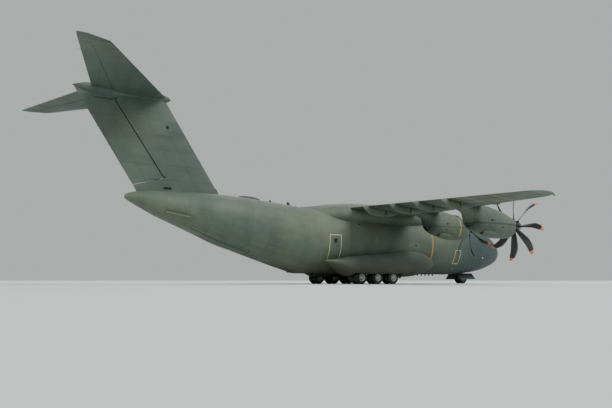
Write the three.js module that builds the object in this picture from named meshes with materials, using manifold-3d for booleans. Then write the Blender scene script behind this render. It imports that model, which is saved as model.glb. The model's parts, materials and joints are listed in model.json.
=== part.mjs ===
// Half-scale model of a four-propeller military transport plane, parked on its gear.
// Sizes below are full-size metres. The exported group turns them into half-scale millimetres.
// A station s is the distance aft of the nose tip. Left is +Y, up is +Z, forward is +X.
import * as THREE from "three";
import { mergeVertices } from "three/addons/utils/BufferGeometryUtils.js";
import Module from "manifold-3d";

const wasm = await Module();
wasm.setup();

// Driving dimensions
const MODEL_SCALE = 0.5;
const MM_PER_M = 1000;
const LENGTH = 45.1;
const WALL = 0.14;
const FIT = 0.0008;
const RUN = 0.016;
const MERGE = 1e-5;
const REACH = 6;
// Hinge pins: radius and how far they reach past the moving piece
const PIN = 0.03;
const PIN_REACH = 0.12;

// Fuselage sections: station, half width, top, bottom, height of the widest point
const SECTIONS = [
  [0, 0, 3.0, 3.0, 3.0],
  [0.15, 0.46, 3.46, 2.62, 3.02],
  [0.6, 0.97, 4.04, 2.24, 3.06],
  [1.3, 1.5, 4.56, 1.88, 3.12],
  [2.2, 1.94, 5.06, 1.56, 3.22],
  [3.2, 2.29, 5.68, 1.3, 3.36],
  [4.3, 2.56, 6.02, 1.12, 3.5],
  [6.0, 2.76, 6.25, 0.96, 3.6],
  [8.0, 2.82, 6.36, 0.88, 3.66],
  [24.9, 2.82, 6.46, 0.88, 3.7],
  [26.2, 2.82, 6.6, 1.25, 3.95],
  [30.5, 2.78, 6.9, 2.58, 4.85],
  [32.0, 2.62, 6.96, 3.05, 5.1],
  [33.5, 2.3, 6.98, 3.66, 5.35],
  [35.3, 1.78, 6.95, 4.38, 5.65],
  [37.05, 1.22, 6.88, 5.06, 5.95],
  [38.2, 0.8, 6.78, 5.6, 6.18],
  [39.0, 0.42, 6.6, 6.0, 6.3],
  [39.35, 0, 6.32, 6.32, 6.32],
];
const HULL_SIDES = 28;
const HULL_FULLNESS = 0.94;

// Where the fuselage is split into pieces
const RADOME_END = 0.95;
const COCKPIT_WALL = 1.15;
const COCKPIT_END = 3.95;
const FORWARD_END = 12.0;
const CENTRE_END = 21.0;
const REAR_END = 35.3;
const FLOOR_TOP = 1.95;

// Wing: half span rows of y, leading edge, chord, height, thickness over chord
const WING = [
  [0, 13.65, 7.05, 6.42, 0.14],
  [2.8, 13.65, 7.05, 6.42, 0.14],
  [20.6, 19.3, 2.68, 5.52, 0.12],
  [21.2, 19.75, 2.2, 5.5, 0.1],
];
// Tailplane rows, with the same columns
const TAILPLANE = [
  [0, 36.4, 5.5, 14.0, 0.11],
  [9.0, 43.0, 1.95, 14.0, 0.1],
  [9.56, 44.4, 0.7, 14.0, 0.08],
];
// Fin rows of height, leading edge, chord, thickness over chord
const FIN = [
  [6.2, 31.4, 6.67, 0.12],
  [13.9, 36.53, 6.63, 0.11],
];
const FOIL_STEPS = [1, 0.78, 0.56, 0.36, 0.2, 0.09, 0.025];
const TRAILING_EDGE = 0.006;

const PAINT = {
  grey: [0x4a5248, 0.75, 0.1],
  dark: [0x2f3330, 0.6, 0.2],
  black: [0x17181a, 0.5, 0.1],
  steel: [0x8b8d8f, 0.4, 0.9],
  rubber: [0x1b1b1c, 0.9, 0],
  glass: [0x203038, 0.1, 0],
  floor: [0x6b6f6a, 0.7, 0.3],
};

const model = new THREE.Group();
model.scale.setScalar(MODEL_SCALE * MM_PER_M);

const at = (s, y, z) => [LENGTH / 2 - s, y, z];
const mix = (a, b, t) => a + (b - a) * t;

// Solids from geometry and back
function signedVolume(corners, index) {
  let sum = 0;
  const point = (k) => new THREE.Vector3().fromArray(corners, 3 * index[k]);
  for (let i = 0; i < index.length; i += 3) {
    sum += point(i).dot(point(i + 1).cross(point(i + 2)));
  }
  return sum / 6;
}

function solidOf(geometry) {
  geometry.deleteAttribute("normal");
  geometry.deleteAttribute("uv");
  const merged = mergeVertices(geometry, MERGE);
  const corners = merged.attributes.position.array;
  const order = merged.index.array;
  const index = [];
  for (let i = 0; i < order.length; i += 3) {
    const [a, b, c] = [order[i], order[i + 1], order[i + 2]];
    if (a !== b && b !== c && c !== a) index.push(a, b, c);
  }
  if (signedVolume(corners, index) < 0) index.reverse();
  const triVerts = new Uint32Array(index);
  return new wasm.Manifold(new wasm.Mesh({ numProp: 3, vertProperties: corners, triVerts }));
}

function geometryOf(solid) {
  const mesh = solid.getMesh();
  const geometry = new THREE.BufferGeometry();
  geometry.setAttribute("position", new THREE.BufferAttribute(mesh.vertProperties, 3));
  geometry.setIndex(new THREE.BufferAttribute(mesh.triVerts, 1));
  return geometry;
}

// The largest single body of a cut solid
function mainBody(solid) {
  return solid.decompose().reduce((a, b) => (a.volume() > b.volume() ? a : b));
}

const union = (first, ...others) => others.reduce((a, b) => a.add(b), first);

// A closed skin over rings that hold the same number of points
function skin(rings) {
  const count = rings[0].length;
  const points = rings.flat();
  const faces = [];
  for (let i = 0; i + 1 < rings.length; i++) {
    for (let k = 0; k < count; k++) {
      const a = i * count + k;
      const b = i * count + ((k + 1) % count);
      faces.push(a, b, b + count, a, b + count, a + count);
    }
  }
  const centre = (ring) => [0, 1, 2].map((n) => ring.reduce((sum, p) => sum + p[n], 0) / count);
  const first = points.push(centre(rings[0])) - 1;
  const last = points.push(centre(rings[rings.length - 1])) - 1;
  const start = (rings.length - 1) * count;
  for (let k = 0; k < count; k++) {
    const next = (k + 1) % count;
    faces.push(next, k, first, start + k, start + next, last);
  }
  const geometry = new THREE.BufferGeometry();
  geometry.setAttribute("position", new THREE.Float32BufferAttribute(points.flat(), 3));
  geometry.setIndex(faces);
  return solidOf(geometry);
}

function mirrored(solid) {
  const geometry = geometryOf(solid);
  geometry.scale(1, -1, 1);
  return solidOf(geometry);
}

// Plain solids between given stations, sides and heights
function block([s0, s1], [y0, y1], [z0, z1]) {
  const box = new THREE.BoxGeometry(s1 - s0, y1 - y0, z1 - z0);
  box.translate(...at((s0 + s1) / 2, (y0 + y1) / 2, (z0 + z1) / 2));
  return solidOf(box);
}

// A side outline of (s, z) points run from y0 to y1
function sidePlate(outline, y0, y1) {
  const shape = new THREE.Shape(outline.map(([s, z]) => new THREE.Vector2(LENGTH / 2 - s, z)));
  const plate = new THREE.ExtrudeGeometry(shape, { depth: y1 - y0, bevelEnabled: false });
  plate.rotateX(Math.PI / 2);
  plate.translate(0, y1, 0);
  return solidOf(plate);
}

// A plan outline of (s, y) points run from z0 to z1
function planPlate(outline, z0, z1) {
  const shape = new THREE.Shape(outline.map(([s, y]) => new THREE.Vector2(LENGTH / 2 - s, y)));
  const plate = new THREE.ExtrudeGeometry(shape, { depth: z1 - z0, bevelEnabled: false });
  plate.translate(0, 0, z0);
  return solidOf(plate);
}

// A round bar or cone between two (s, y, z) points
function bar(from, to, radius, endRadius = radius, sides = 8) {
  const a = new THREE.Vector3(...at(...from));
  const b = new THREE.Vector3(...at(...to));
  const along = b.clone().sub(a);
  const cylinder = new THREE.CylinderGeometry(endRadius, radius, along.length(), sides);
  const turn = new THREE.Quaternion();
  turn.setFromUnitVectors(new THREE.Vector3(0, 1, 0), along.clone().normalize());
  cylinder.applyQuaternion(turn);
  cylinder.translate(...a.add(b).multiplyScalar(0.5).toArray());
  return solidOf(cylinder);
}

// The hole for a pin or shaft, with more sides than it, which clears it all round and at both ends
function bore(from, to, radius, sides = 12) {
  const length = Math.hypot(...from.map((v, n) => to[n] - v));
  const past = (p, q) => p.map((v, n) => v - ((q[n] - v) / length) * 2 * FIT);
  const round = (radius + FIT) / Math.cos(Math.PI / sides);
  return bar(past(from, to), past(to, from), round, round, sides);
}

// Fuselage lofts
function rowAt(rows, s) {
  const i = Math.min(Math.max(rows.findIndex((row) => row[0] > s), 1), rows.length - 1);
  const [low, high] = s >= rows[rows.length - 1][0] ? rows.slice(-2) : [rows[i - 1], rows[i]];
  const t = (s - low[0]) / (high[0] - low[0]);
  return low.map((value, n) => mix(value, high[n], t));
}

function hullRing(s, inset) {
  const [, half, top, bottom, wide] = rowAt(SECTIONS, s);
  const ring = [];
  for (let k = 0; k < HULL_SIDES; k++) {
    const angle = ((k + 0.5) / HULL_SIDES) * 2 * Math.PI;
    const power = angle > Math.PI ? HULL_FULLNESS : 1;
    const soft = (v) => Math.sign(v) * Math.abs(v) ** power;
    const rise = angle > Math.PI ? wide - bottom - inset : top - inset - wide;
    ring.push(at(s, (half - inset) * soft(Math.cos(angle)), wide + rise * soft(Math.sin(angle))));
  }
  return ring;
}

function hull(from, to, inset = 0) {
  const between = SECTIONS.map(([s]) => s).filter((s) => s > from + MERGE && s < to - MERGE);
  return skin([from, ...between, to].map((s) => hullRing(s, inset)));
}

const OVERRUN = 0.05;
function tube(from, to) {
  return hull(from, to).subtract(hull(from - OVERRUN, to + OVERRUN, WALL));
}

// Wings and tails: one symmetric foil ring as [aft of leading edge, above chord line]
function foil(chord, thickness) {
  const half = (f) => {
    const shape = 0.2969 * Math.sqrt(f) - 0.126 * f - 0.3516 * f ** 2 + 0.2843 * f ** 3;
    return 5 * thickness * (shape - 0.1015 * f ** 4) + (TRAILING_EDGE / 2) * f;
  };
  const upper = FOIL_STEPS.map((f) => [f * chord, half(f) * chord]);
  const lower = [...FOIL_STEPS].reverse().map((f) => [f * chord, -half(f) * chord]);
  return [...upper, [0, 0], ...lower];
}

function wingRows(rows, grow) {
  return rows.map(([y, lead, chord, z, thickness]) => {
    const ring = foil(chord + 2 * grow, thickness + (2 * grow) / chord);
    return ring.map(([aft, up]) => at(lead - grow + aft, y, z + up));
  });
}

function finSolid() {
  return skin(
    FIN.map(([z, lead, chord, thickness]) =>
      foil(chord, thickness).map(([aft, side]) => at(lead + aft, side, z)),
    ),
  );
}

// A moving surface cut from a wing or fin along a hinge.
// flat says which way the outline is run through the surface: "z" for a wing, "y" for a fin.
// The end gaps leave room for ends that don't lie square to the hinge.
function splitSurface(surface, plan) {
  const { inner, outer, innerRadius, outerRadius, innerEnd, innerGap, outerGap, flat } = plan;
  const spread = flat === "z" ? 1 : 2;
  const pick = (p) => new THREE.Vector2(p[0], p[spread]);
  const [a, b] = [pick(inner), pick(outer)];
  const along = b.clone().sub(a).normalize();
  const aft = new THREE.Vector2(along.y, -along.x);
  if (aft.x < 0) aft.negate();
  const outerEnd = flat === "z" ? aft : new THREE.Vector2(1, 0);
  const step = (p, u, v, end = aft) =>
    p.clone().addScaledVector(along, u).addScaledVector(end, v).toArray();
  const plate = flat === "z" ? (o) => planPlate(o, -1, 20) : (o) => sidePlate(o, -3, 3);
  const end = new THREE.Vector2(...innerEnd).normalize();
  const behindHinge = plate([
    a.toArray(),
    b.toArray(),
    step(b, 0, REACH, outerEnd),
    step(a, 0, REACH, end),
  ]);
  const region = (run, before, past) =>
    plate([
      step(a, -before, 0),
      step(a, -before, -innerRadius - run),
      step(b, past, -outerRadius - run),
      step(b, past, 0),
      step(b, past, REACH, outerEnd),
      step(a, -before, REACH, end),
    ]);
  const reach = (p, q, extra) => {
    const length = Math.hypot(...p.map((v, n) => q[n] - v));
    return p.map((v, n) => v + ((q[n] - v) / length) * extra);
  };
  const pinFrom = reach(inner, outer, -PIN_REACH);
  const pinTo = reach(outer, inner, -PIN_REACH);
  const nose = bar(inner, outer, innerRadius, outerRadius, 12);
  const moving = surface.intersect(behindHinge).add(nose).intersect(region(0, 0, 0));
  return {
    moving: mainBody(moving.add(bar(pinFrom, pinTo, PIN))),
    fixed: surface.subtract(region(RUN, innerGap, outerGap)).subtract(bore(pinFrom, pinTo, PIN)),
  };
}

// Hinge lugs: a fixed tongue in a slot of the moving piece, with the moving piece's pin through it.
// The pin lies along the hinge, [stations, heights] for each metre of y.
const LUG = { half: 0.03, radius: 0.06, room: 0.055, grip: 0.03, slotFront: 1 };
function addLug(pair, { centre, slant, reach, slotUp, slotDown }) {
  const [s, y, z] = centre;
  const { half, radius, room } = LUG;
  const tongue = union(
    block([s - reach, s], [y - half, y + half], [z - radius, z + radius]),
    bar([s, y - half, z], [s, y + half, z], radius),
  );
  const slotRear = s + radius + RUN;
  const slot = block([s - LUG.slotFront, slotRear], [y - room, y + room], [z - slotDown, z + slotUp]);
  const pinEnd = (v) => [s + slant[0] * v, y + v, z + slant[1] * v];
  const pin = [pinEnd(-room - LUG.grip), pinEnd(room + LUG.grip), PIN];
  return {
    fixed: pair.fixed.add(tongue.subtract(bore(...pin))),
    moving: pair.moving.subtract(slot).add(bar(...pin)),
  };
}

// Nodes
function add(name, solid, finish, parent = model, place = [0, 0, 0]) {
  const [color, roughness, metalness] = PAINT[finish];
  const material = new THREE.MeshStandardMaterial({ color, roughness, metalness });
  const mesh = new THREE.Mesh(geometryOf(solid), material);
  mesh.name = name;
  mesh.position.set(...place);
  parent.add(mesh);
}

function addPair(name, leftSolid, finish) {
  add(`${name}_left`, leftSolid, finish);
  add(`${name}_right`, mirrored(leftSolid), finish);
}

// Wing with its flaps and aileron
const wingAt = (y) => {
  const [, lead, chord, z] = rowAt(WING, y);
  return { lead, chord, z, trail: lead + chord };
};
const FLAP_SHARE = 0.27;
const FLAP_FRONT = 0.1;
const FLAP_INNER = 3.2;
const FLAP_SPLIT = 9.7;
const FLAP_END_GAP = 0.035;
const FLAP_OUTER = 15.0;
const flapLead = (y) => wingAt(y).trail - FLAP_SHARE * wingAt(y).chord;
const FLAP_DROP = { inner: 0.72, outer: 0.54 };
const flapHinge = (y) => {
  const t = (y - FLAP_INNER) / (FLAP_OUTER - FLAP_INNER);
  const s = mix(flapLead(FLAP_INNER), flapLead(FLAP_OUTER), t) + FLAP_FRONT;
  const z = mix(wingAt(FLAP_INNER).z, wingAt(FLAP_OUTER).z, t);
  return [s, y, z - mix(FLAP_DROP.inner, FLAP_DROP.outer, t)];
};
const TRACKS = [4.9, 8.4, 11.2, 14.2];
const TRACK_NOSE_RADIUS = 0.13;

// A flap track fairing under the wing, from ahead of the flap hinge to behind the trailing edge
function trackFairing(y) {
  const { z, trail } = wingAt(y);
  const [s, , hingeZ] = flapHinge(y);
  const low = hingeZ - TRACK_NOSE_RADIUS;
  // station, half width, bottom, top
  const rows = [
    [s - 1.7, 0.03, z - 0.3, z - 0.2],
    [s - 1.1, 0.13, mix(z, low, 0.8), z - 0.1],
    [s, 0.17, low, z - 0.1],
    [mix(s, trail, 0.5), 0.15, low + 0.03, z - 0.04],
    [trail, 0.1, low + 0.16, z - 0.01],
    [trail + 0.6, 0.02, z - 0.14, z - 0.08],
  ];
  return skin(
    rows.map(([station, half, bottom, top]) => {
      const ring = [];
      for (let k = 0; k < 8; k++) {
        const angle = (k / 8) * 2 * Math.PI;
        const middle = (top + bottom) / 2;
        const rise = ((top - bottom) / 2) * Math.sin(angle);
        ring.push(at(station, y + half * Math.cos(angle), middle + rise));
      }
      return ring;
    }),
  );
}

function wingParts() {
  const [root, ...outboard] = WING;
  const rows = [[FIT / 2, ...root.slice(1)], ...outboard];
  const whole = skin(wingRows(rows, 0));
  // The flaps share one dropped hinge line, and their split lies square to it
  const a = flapHinge(FLAP_INNER);
  const b = flapHinge(FLAP_OUTER);
  const flapSlant = [(b[0] - a[0]) / (b[1] - a[1]), (b[2] - a[2]) / (b[1] - a[1])];
  const along = new THREE.Vector2(b[0] - a[0], b[1] - a[1]).normalize();
  const aft = new THREE.Vector2(along.y, -along.x);
  const corner = (y, offset, behind, square) => {
    const base = new THREE.Vector2(...flapHinge(y).slice(0, 2)).addScaledVector(along, offset);
    return square ? base.addScaledVector(aft, behind).toArray() : [base.x + behind, base.y];
  };
  const outline = (from, to, ahead, beyond, endSquare) => [
    corner(from, -beyond, -FLAP_FRONT - ahead, true),
    corner(to, beyond, -FLAP_FRONT - ahead, endSquare),
    corner(to, beyond, REACH, endSquare),
    corner(from, -beyond, REACH, true),
  ];
  const spans = [
    ["inner_flap", FLAP_INNER, FLAP_SPLIT - RUN, TRACKS.slice(0, 2), true],
    ["outer_flap", FLAP_SPLIT + RUN, FLAP_OUTER, TRACKS.slice(2), false],
  ];
  const flapRoom = outline(FLAP_INNER, FLAP_OUTER, RUN, FLAP_END_GAP, false);
  let fixed = whole.subtract(planPlate(flapRoom, -1, 20));
  const flaps = {};
  for (const [name, from, to, tracks, square] of spans) {
    let flap = whole.intersect(planPlate(outline(from, to, 0, 0, square), -1, 20));
    for (const y of tracks) {
      const [s, , z] = flapHinge(y);
      const fairing = trackFairing(y);
      const noseEnd = s - TRACK_NOSE_RADIUS - RUN;
      const front = fairing.intersect(block([0, noseEnd], [y - 1, y + 1], [0, 20]));
      const rear = fairing.intersect(block([s, LENGTH], [y - 1, y + 1], [0, 20]));
      const nose = bar([s, y - 0.15, z], [s, y + 0.15, z], TRACK_NOSE_RADIUS);
      const pair = addLug(
        { fixed: fixed.add(front), moving: union(flap, rear, nose) },
        {
          centre: [s, y, z],
          slant: flapSlant,
          reach: TRACK_NOSE_RADIUS + 0.2,
          slotUp: TRACK_NOSE_RADIUS + RUN,
          slotDown: 0.4,
        },
      );
      fixed = pair.fixed;
      flap = pair.moving;
    }
    flaps[name] = mainBody(flap);
  }
  const aileronAt = (y) => [wingAt(y).trail - 0.26 * wingAt(y).chord, y, wingAt(y).z];
  const inner = aileronAt(15.2);
  const outer = aileronAt(19.9);
  const aileron = splitSurface(fixed, {
    inner,
    outer,
    innerRadius: 0.13,
    outerRadius: 0.085,
    innerEnd: [1, 0],
    innerGap: 0.025,
    outerGap: 0.025,
    flat: "z",
  });
  return { wing: mainBody(aileron.fixed), aileron: aileron.moving, flaps };
}

// Jacking pads under the wing
const JACK_PAD = { s: 16.6, y: 4.0, radius: 0.12, below: 5.86 };
const parts = wingParts();
const jackPad = bar(
  [JACK_PAD.s, JACK_PAD.y, 6.2],
  [JACK_PAD.s, JACK_PAD.y, JACK_PAD.below],
  JACK_PAD.radius,
);
addPair("wing", parts.wing.add(jackPad), "grey");
addPair("aileron", parts.aileron, "grey");
addPair("inner_flap", parts.flaps.inner_flap, "grey");
addPair("outer_flap", parts.flaps.outer_flap, "grey");

const GROW = 2 * FIT;
const leftWingRoom = skin(wingRows([[-0.01, ...WING[0].slice(1)], ...WING.slice(1)], GROW));
const wingRoom = leftWingRoom.add(mirrored(leftWingRoom));

// Wing to fuselage fairing: station, half width, top
const FAIRING = [
  [9.6, 0.5, 6.5],
  [10.8, 1.7, 6.74],
  [12.6, 2.5, 7.02],
  [14.2, 2.75, 7.15],
  [19.0, 2.75, 7.12],
  [21.4, 2.45, 6.92],
  [23.0, 1.7, 6.68],
  [24.3, 0.5, 6.48],
];
const FAIRING_FOOT = 4.7;
function fairingSolid() {
  const rings = FAIRING.map(([s, half, top]) => {
    const ring = [];
    for (let k = 0; k < 24; k++) {
      const angle = (k / 24) * 2 * Math.PI;
      const middle = (top + FAIRING_FOOT) / 2;
      const rise = ((top - FAIRING_FOOT) / 2) * Math.sin(angle);
      ring.push(at(s, half * Math.cos(angle), middle + rise));
    }
    return ring;
  });
  return mainBody(skin(rings).subtract(hull(6, 30, -GROW)).subtract(wingRoom));
}
add("wing_fairing", fairingSolid(), "grey");

// Cockpit panes, left side: azimuth from the nose, pivot station, corners of (sideways, height)
const PANES = [
  { azimuth: 0, pivot: 3.6, corners: [[0.05, 4.66], [0.85, 4.6], [0.82, 5.28], [0.05, 5.38]] },
  { azimuth: 55, pivot: 3.4, corners: [[-0.52, 4.58], [0.36, 4.44], [0.34, 5.08], [-0.44, 5.22]] },
  { azimuth: 90, pivot: 3.2, corners: [[-0.5, 4.38], [0.4, 4.42], [0.38, 5.0], [-0.42, 5.0]] },
];

// A pane's prism runs outwards along its azimuth from a pivot inside the cockpit
const PANE_DEPTH = 4;
function panePrism({ azimuth, pivot, corners }, shrink) {
  const cu = corners.reduce((sum, c) => sum + c[0], 0) / corners.length;
  const cz = corners.reduce((sum, c) => sum + c[1], 0) / corners.length;
  const pull = (value, centre) => value - Math.sign(value - centre) * shrink;
  const outline = corners.map(([u, z]) => new THREE.Vector2(pull(u, cu), pull(z, cz)));
  const shape = new THREE.Shape(outline);
  const prism = new THREE.ExtrudeGeometry(shape, { depth: PANE_DEPTH, bevelEnabled: false });
  // shape x becomes left (+Y), shape y becomes up, depth becomes forward (+X)
  const basis = new THREE.Matrix4().makeBasis(
    new THREE.Vector3(0, 1, 0),
    new THREE.Vector3(0, 0, 1),
    new THREE.Vector3(1, 0, 0),
  );
  prism.applyMatrix4(basis);
  prism.rotateZ(THREE.MathUtils.degToRad(azimuth));
  prism.translate(...at(pivot, 0, 0));
  return solidOf(prism);
}

const GLASS = 0.03;
const GLAZING = { front: 1.3, rear: 3.8, low: 4.32, high: 5.5 };
// Stations of the glazed shell: its outer face, its liner and the room inside
const CANOPY = { outer: [1.1, 4.1], liner: [1.17, 4.1], room: [1.16, 4.2] };
function cockpitParts() {
  const shell = hull(RADOME_END + FIT, COCKPIT_END - FIT).subtract(
    hull(COCKPIT_WALL, COCKPIT_END + OVERRUN, WALL),
  );
  const panes = PANES.flatMap((pane) => {
    const other = { ...pane, azimuth: -pane.azimuth, corners: pane.corners.map(([u, z]) => [-u, z]) };
    return [pane, other];
  });
  const holes = panes.map((pane) => panePrism(pane, 0));
  const plugs = panes.map((pane) => panePrism(pane, FIT));
  const inner = hull(...CANOPY.room, WALL + GLASS);
  const band = block([GLAZING.front, GLAZING.rear], [-3, 3], [GLAZING.low, GLAZING.high]);
  const liner = hull(...CANOPY.liner, WALL + FIT).subtract(inner).intersect(band);
  const skinLayer = hull(...CANOPY.outer, GLASS).subtract(inner).intersect(band);
  const glass = plugs.reduce((sum, plug) => sum.add(skinLayer.intersect(plug)), liner);
  return {
    shell: holes.reduce((rest, hole) => rest.subtract(hole), shell),
    glass: mainBody(glass),
  };
}

const cockpit = cockpitParts();
add("radome", hull(0, RADOME_END - FIT), "dark");
add("cockpit_shell", mainBody(cockpit.shell), "grey");
add("windscreen", cockpit.glass, "glass");

// Flight deck: floor, two seats, instrument panel and pedestal
const DECK_TOP = 3.45;
const DECK_SPAN = [1.6, 5.4];
function flightDeck() {
  const room = hull(...DECK_SPAN, WALL + GLASS + FIT + OVERRUN);
  const floorRoom = hull(...DECK_SPAN, WALL + FIT);
  const floor = floorRoom.intersect(block([1.8, 5.3], [-3, 3], [DECK_TOP - 0.12, DECK_TOP]));
  const panel = room.intersect(block([1.95, 2.2], [-1.5, 1.5], [DECK_TOP - OVERRUN, 4.55]));
  const pedestal = block([2.15, 3.0], [-0.22, 0.22], [DECK_TOP - OVERRUN, 4.0]);
  const seats = [-0.65, 0.65].map((y) => {
    const side = [y - 0.26, y + 0.26];
    const base = block([3.15, 3.65], [y - 0.15, y + 0.15], [DECK_TOP - OVERRUN, 3.8]);
    const cushion = block([3.05, 3.7], side, [3.78, 3.95]);
    const back = block([3.6, 3.75], side, [3.9, 4.75]);
    return union(base, cushion, back);
  });
  return union(floor, panel, pedestal, ...seats);
}
add("flight_deck", flightDeck(), "floor");

// Forward fuselage with the nose gear bay and the crew door
const BAY = { front: 4.05, rear: 6.35, half: 0.52, top: 2.1, wall: 0.05 };
const CREW_DOOR = { front: 5.45, rear: 6.35, low: 1.42, high: 3.3, barrel: 0.035 };

// The outer skin's half width at a height below its widest point
function skinHalfAt(s, z) {
  const [, half, , bottom, wide] = rowAt(SECTIONS, s);
  const sine = ((wide - z) / (wide - bottom)) ** (1 / HULL_FULLNESS);
  return half * Math.sqrt(1 - sine ** 2) ** HULL_FULLNESS;
}
const CREW_HINGE_Y = skinHalfAt((CREW_DOOR.front + CREW_DOOR.rear) / 2, CREW_DOOR.low);

function forwardParts() {
  const { front, rear, half, top, wall } = BAY;
  const whole = tube(COCKPIT_END + FIT, FORWARD_END - FIT);
  const bayWalls = block([front - wall, rear + wall], [-half - wall, half + wall], [0.9, top + wall]);
  const outside = hull(COCKPIT_END + FIT, FORWARD_END - FIT);
  const bay = block([front, rear], [-half, half], [0, top]);
  const door = CREW_DOOR;
  const doorWay = block([door.front - RUN, door.rear + RUN], [1, 4], [door.low, door.high + RUN]);
  const doorBox = block([door.front, door.rear], [1, 4], [door.low + RUN, door.high]);
  const axis = (s) => [s, CREW_HINGE_Y, door.low];
  const barrel = bar(axis(door.front - PIN_REACH), axis(door.rear + PIN_REACH), door.barrel);
  const room = bar(axis(door.front - RUN), axis(door.rear + RUN), door.barrel + RUN);
  const hole = bore(axis(door.front - PIN_REACH), axis(door.rear + PIN_REACH), door.barrel);
  const shell = union(whole, bayWalls.intersect(outside)).subtract(bay);
  return {
    shell: mainBody(shell.subtract(doorWay).subtract(room).subtract(hole)),
    door: mainBody(whole.intersect(doorBox).add(barrel)),
  };
}
const forward = forwardParts();
add("forward_fuselage", forward.shell, "grey");
add("crew_door", forward.door, "grey");

// Centre fuselage, open above where the wing box crosses
add("centre_fuselage", mainBody(tube(FORWARD_END + FIT, CENTRE_END - FIT).subtract(wingRoom)), "grey");

// Rear fuselage with its ramp, upper door and paratroop doors
const RAMP = { front: 25.4, rear: 30.8, half: 1.93, hingeZ: 1.27, topRear: 3.3, lean: 0.65 };
const UPPER_DOOR = { rear: 35.0, hingeZ: 4.8, rearHalf: 1.15, tube: 0.045, armHalf: 0.06, armY: 0.95 };
const PARTING_Z = 2.4;
const partingAt = (z) => RAMP.rear - RAMP.lean * (z - PARTING_Z);
const NOTCH = Math.tan(THREE.MathUtils.degToRad(28));
const PARA_DOOR = { front: 22.1, rear: 23.2, low: FLOOR_TOP + 0.05, high: 4.0 };

function rearParts() {
  const whole = tube(CENTRE_END + FIT, REAR_END - FIT);
  const outside = hull(CENTRE_END + FIT, REAR_END - FIT);
  const rampWay = sidePlate(
    [[RAMP.front, -1], [RAMP.front, 2.3], [RAMP.rear + 0.1, 3.7], [RAMP.rear + 0.1, -1]],
    -RAMP.half - RUN,
    RAMP.half + RUN,
  );
  const doorPlan = (grow) => [
    [28.5, -RAMP.half - grow],
    [RAMP.rear, -RAMP.half - grow],
    [UPPER_DOOR.rear + grow, -UPPER_DOOR.rearHalf - grow],
    [UPPER_DOOR.rear + grow, UPPER_DOOR.rearHalf + grow],
    [RAMP.rear, RAMP.half + grow],
    [28.5, RAMP.half + grow],
  ];
  const doorTop = 5.1;
  const doorSide = (gap) => [
    [partingAt(0) + gap, 0],
    [partingAt(doorTop) + gap, doorTop],
    [LENGTH, doorTop],
    [LENGTH, 0],
  ];
  const wayPlan = planPlate(doorPlan(RUN), -1, doorTop);
  const doorWay = wayPlan.intersect(sidePlate(doorSide(-0.3), -3, 3));
  const paraBox = (shrink) =>
    block(
      [PARA_DOOR.front + shrink, PARA_DOOR.rear - shrink],
      [1, 4],
      [PARA_DOOR.low + shrink, PARA_DOOR.high - shrink],
    );
  const rampSide = [
    [RAMP.front + RUN, RAMP.hingeZ],
    [RAMP.front + RUN, FLOOR_TOP],
    [partingAt(RAMP.topRear) - RUN, RAMP.topRear],
    [partingAt(0) - RUN, 0],
    [RAMP.front + RUN + NOTCH * RAMP.hingeZ, 0],
  ];
  let ramp = outside.intersect(sidePlate(rampSide, -RAMP.half, RAMP.half));
  let shell = whole.subtract(rampWay).subtract(doorWay);
  const paraDoor = whole.intersect(paraBox(FIT));
  shell = shell.subtract(paraBox(0)).subtract(mirrored(paraBox(0)));
  // Ramp hinge lugs stand on the belly ahead of the ramp
  const rampAxis = RAMP.front + RUN + LUG.radius + 0.02;
  for (const y of [-0.6, 0.6]) {
    const pair = addLug(
      { fixed: shell, moving: ramp },
      { centre: [rampAxis, y, RAMP.hingeZ], slant: [0, 0], reach: 0.3, slotUp: 0.12, slotDown: 0.6 },
    );
    shell = pair.fixed.add(
      block([25.0, 25.3], [y - LUG.half, y + LUG.half], [0.95, RAMP.hingeZ + LUG.radius]),
    );
    ramp = pair.moving;
  }
  // Upper door with its hinge tube and two arms
  const tubeY = 1.42;
  const axis = (y) => [UPPER_DOOR.rear, y, UPPER_DOOR.hingeZ];
  const doorPanel = whole.intersect(planPlate(doorPlan(0), -1, doorTop));
  const arms = [-UPPER_DOOR.armY, UPPER_DOOR.armY].map((y) =>
    block(
      [UPPER_DOOR.rear - 0.35, UPPER_DOOR.rear],
      [y - UPPER_DOOR.armHalf, y + UPPER_DOOR.armHalf],
      [4.45, UPPER_DOOR.hingeZ + 0.02],
    ),
  );
  const door = union(
    doorPanel.intersect(sidePlate(doorSide(RUN), -3, 3)),
    bar(axis(-tubeY), axis(tubeY), UPPER_DOOR.tube),
    ...arms,
  );
  shell = shell.subtract(bore(axis(-tubeY), axis(tubeY), UPPER_DOOR.tube));
  return { shell: mainBody(shell), ramp: mainBody(ramp), door: mainBody(door), paraDoor, rampAxis };
}
const rear = rearParts();
add("rear_fuselage", rear.shell, "grey");
add("cargo_ramp", rear.ramp, "grey");
add("upper_cargo_door", rear.door, "grey");
addPair("paratroop_door", rear.paraDoor, "grey");
add("tail_cone", hull(REAR_END + FIT, 39.35), "grey");

// Cargo floor
const FLOOR = { front: 6.9, rear: 25.36, thickness: 0.15 };
add(
  "cargo_floor",
  hull(6, 26.2, WALL + FIT).intersect(
    block([FLOOR.front, FLOOR.rear], [-3, 3], [FLOOR_TOP - FLOOR.thickness, FLOOR_TOP]),
  ),
  "floor",
);

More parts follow.
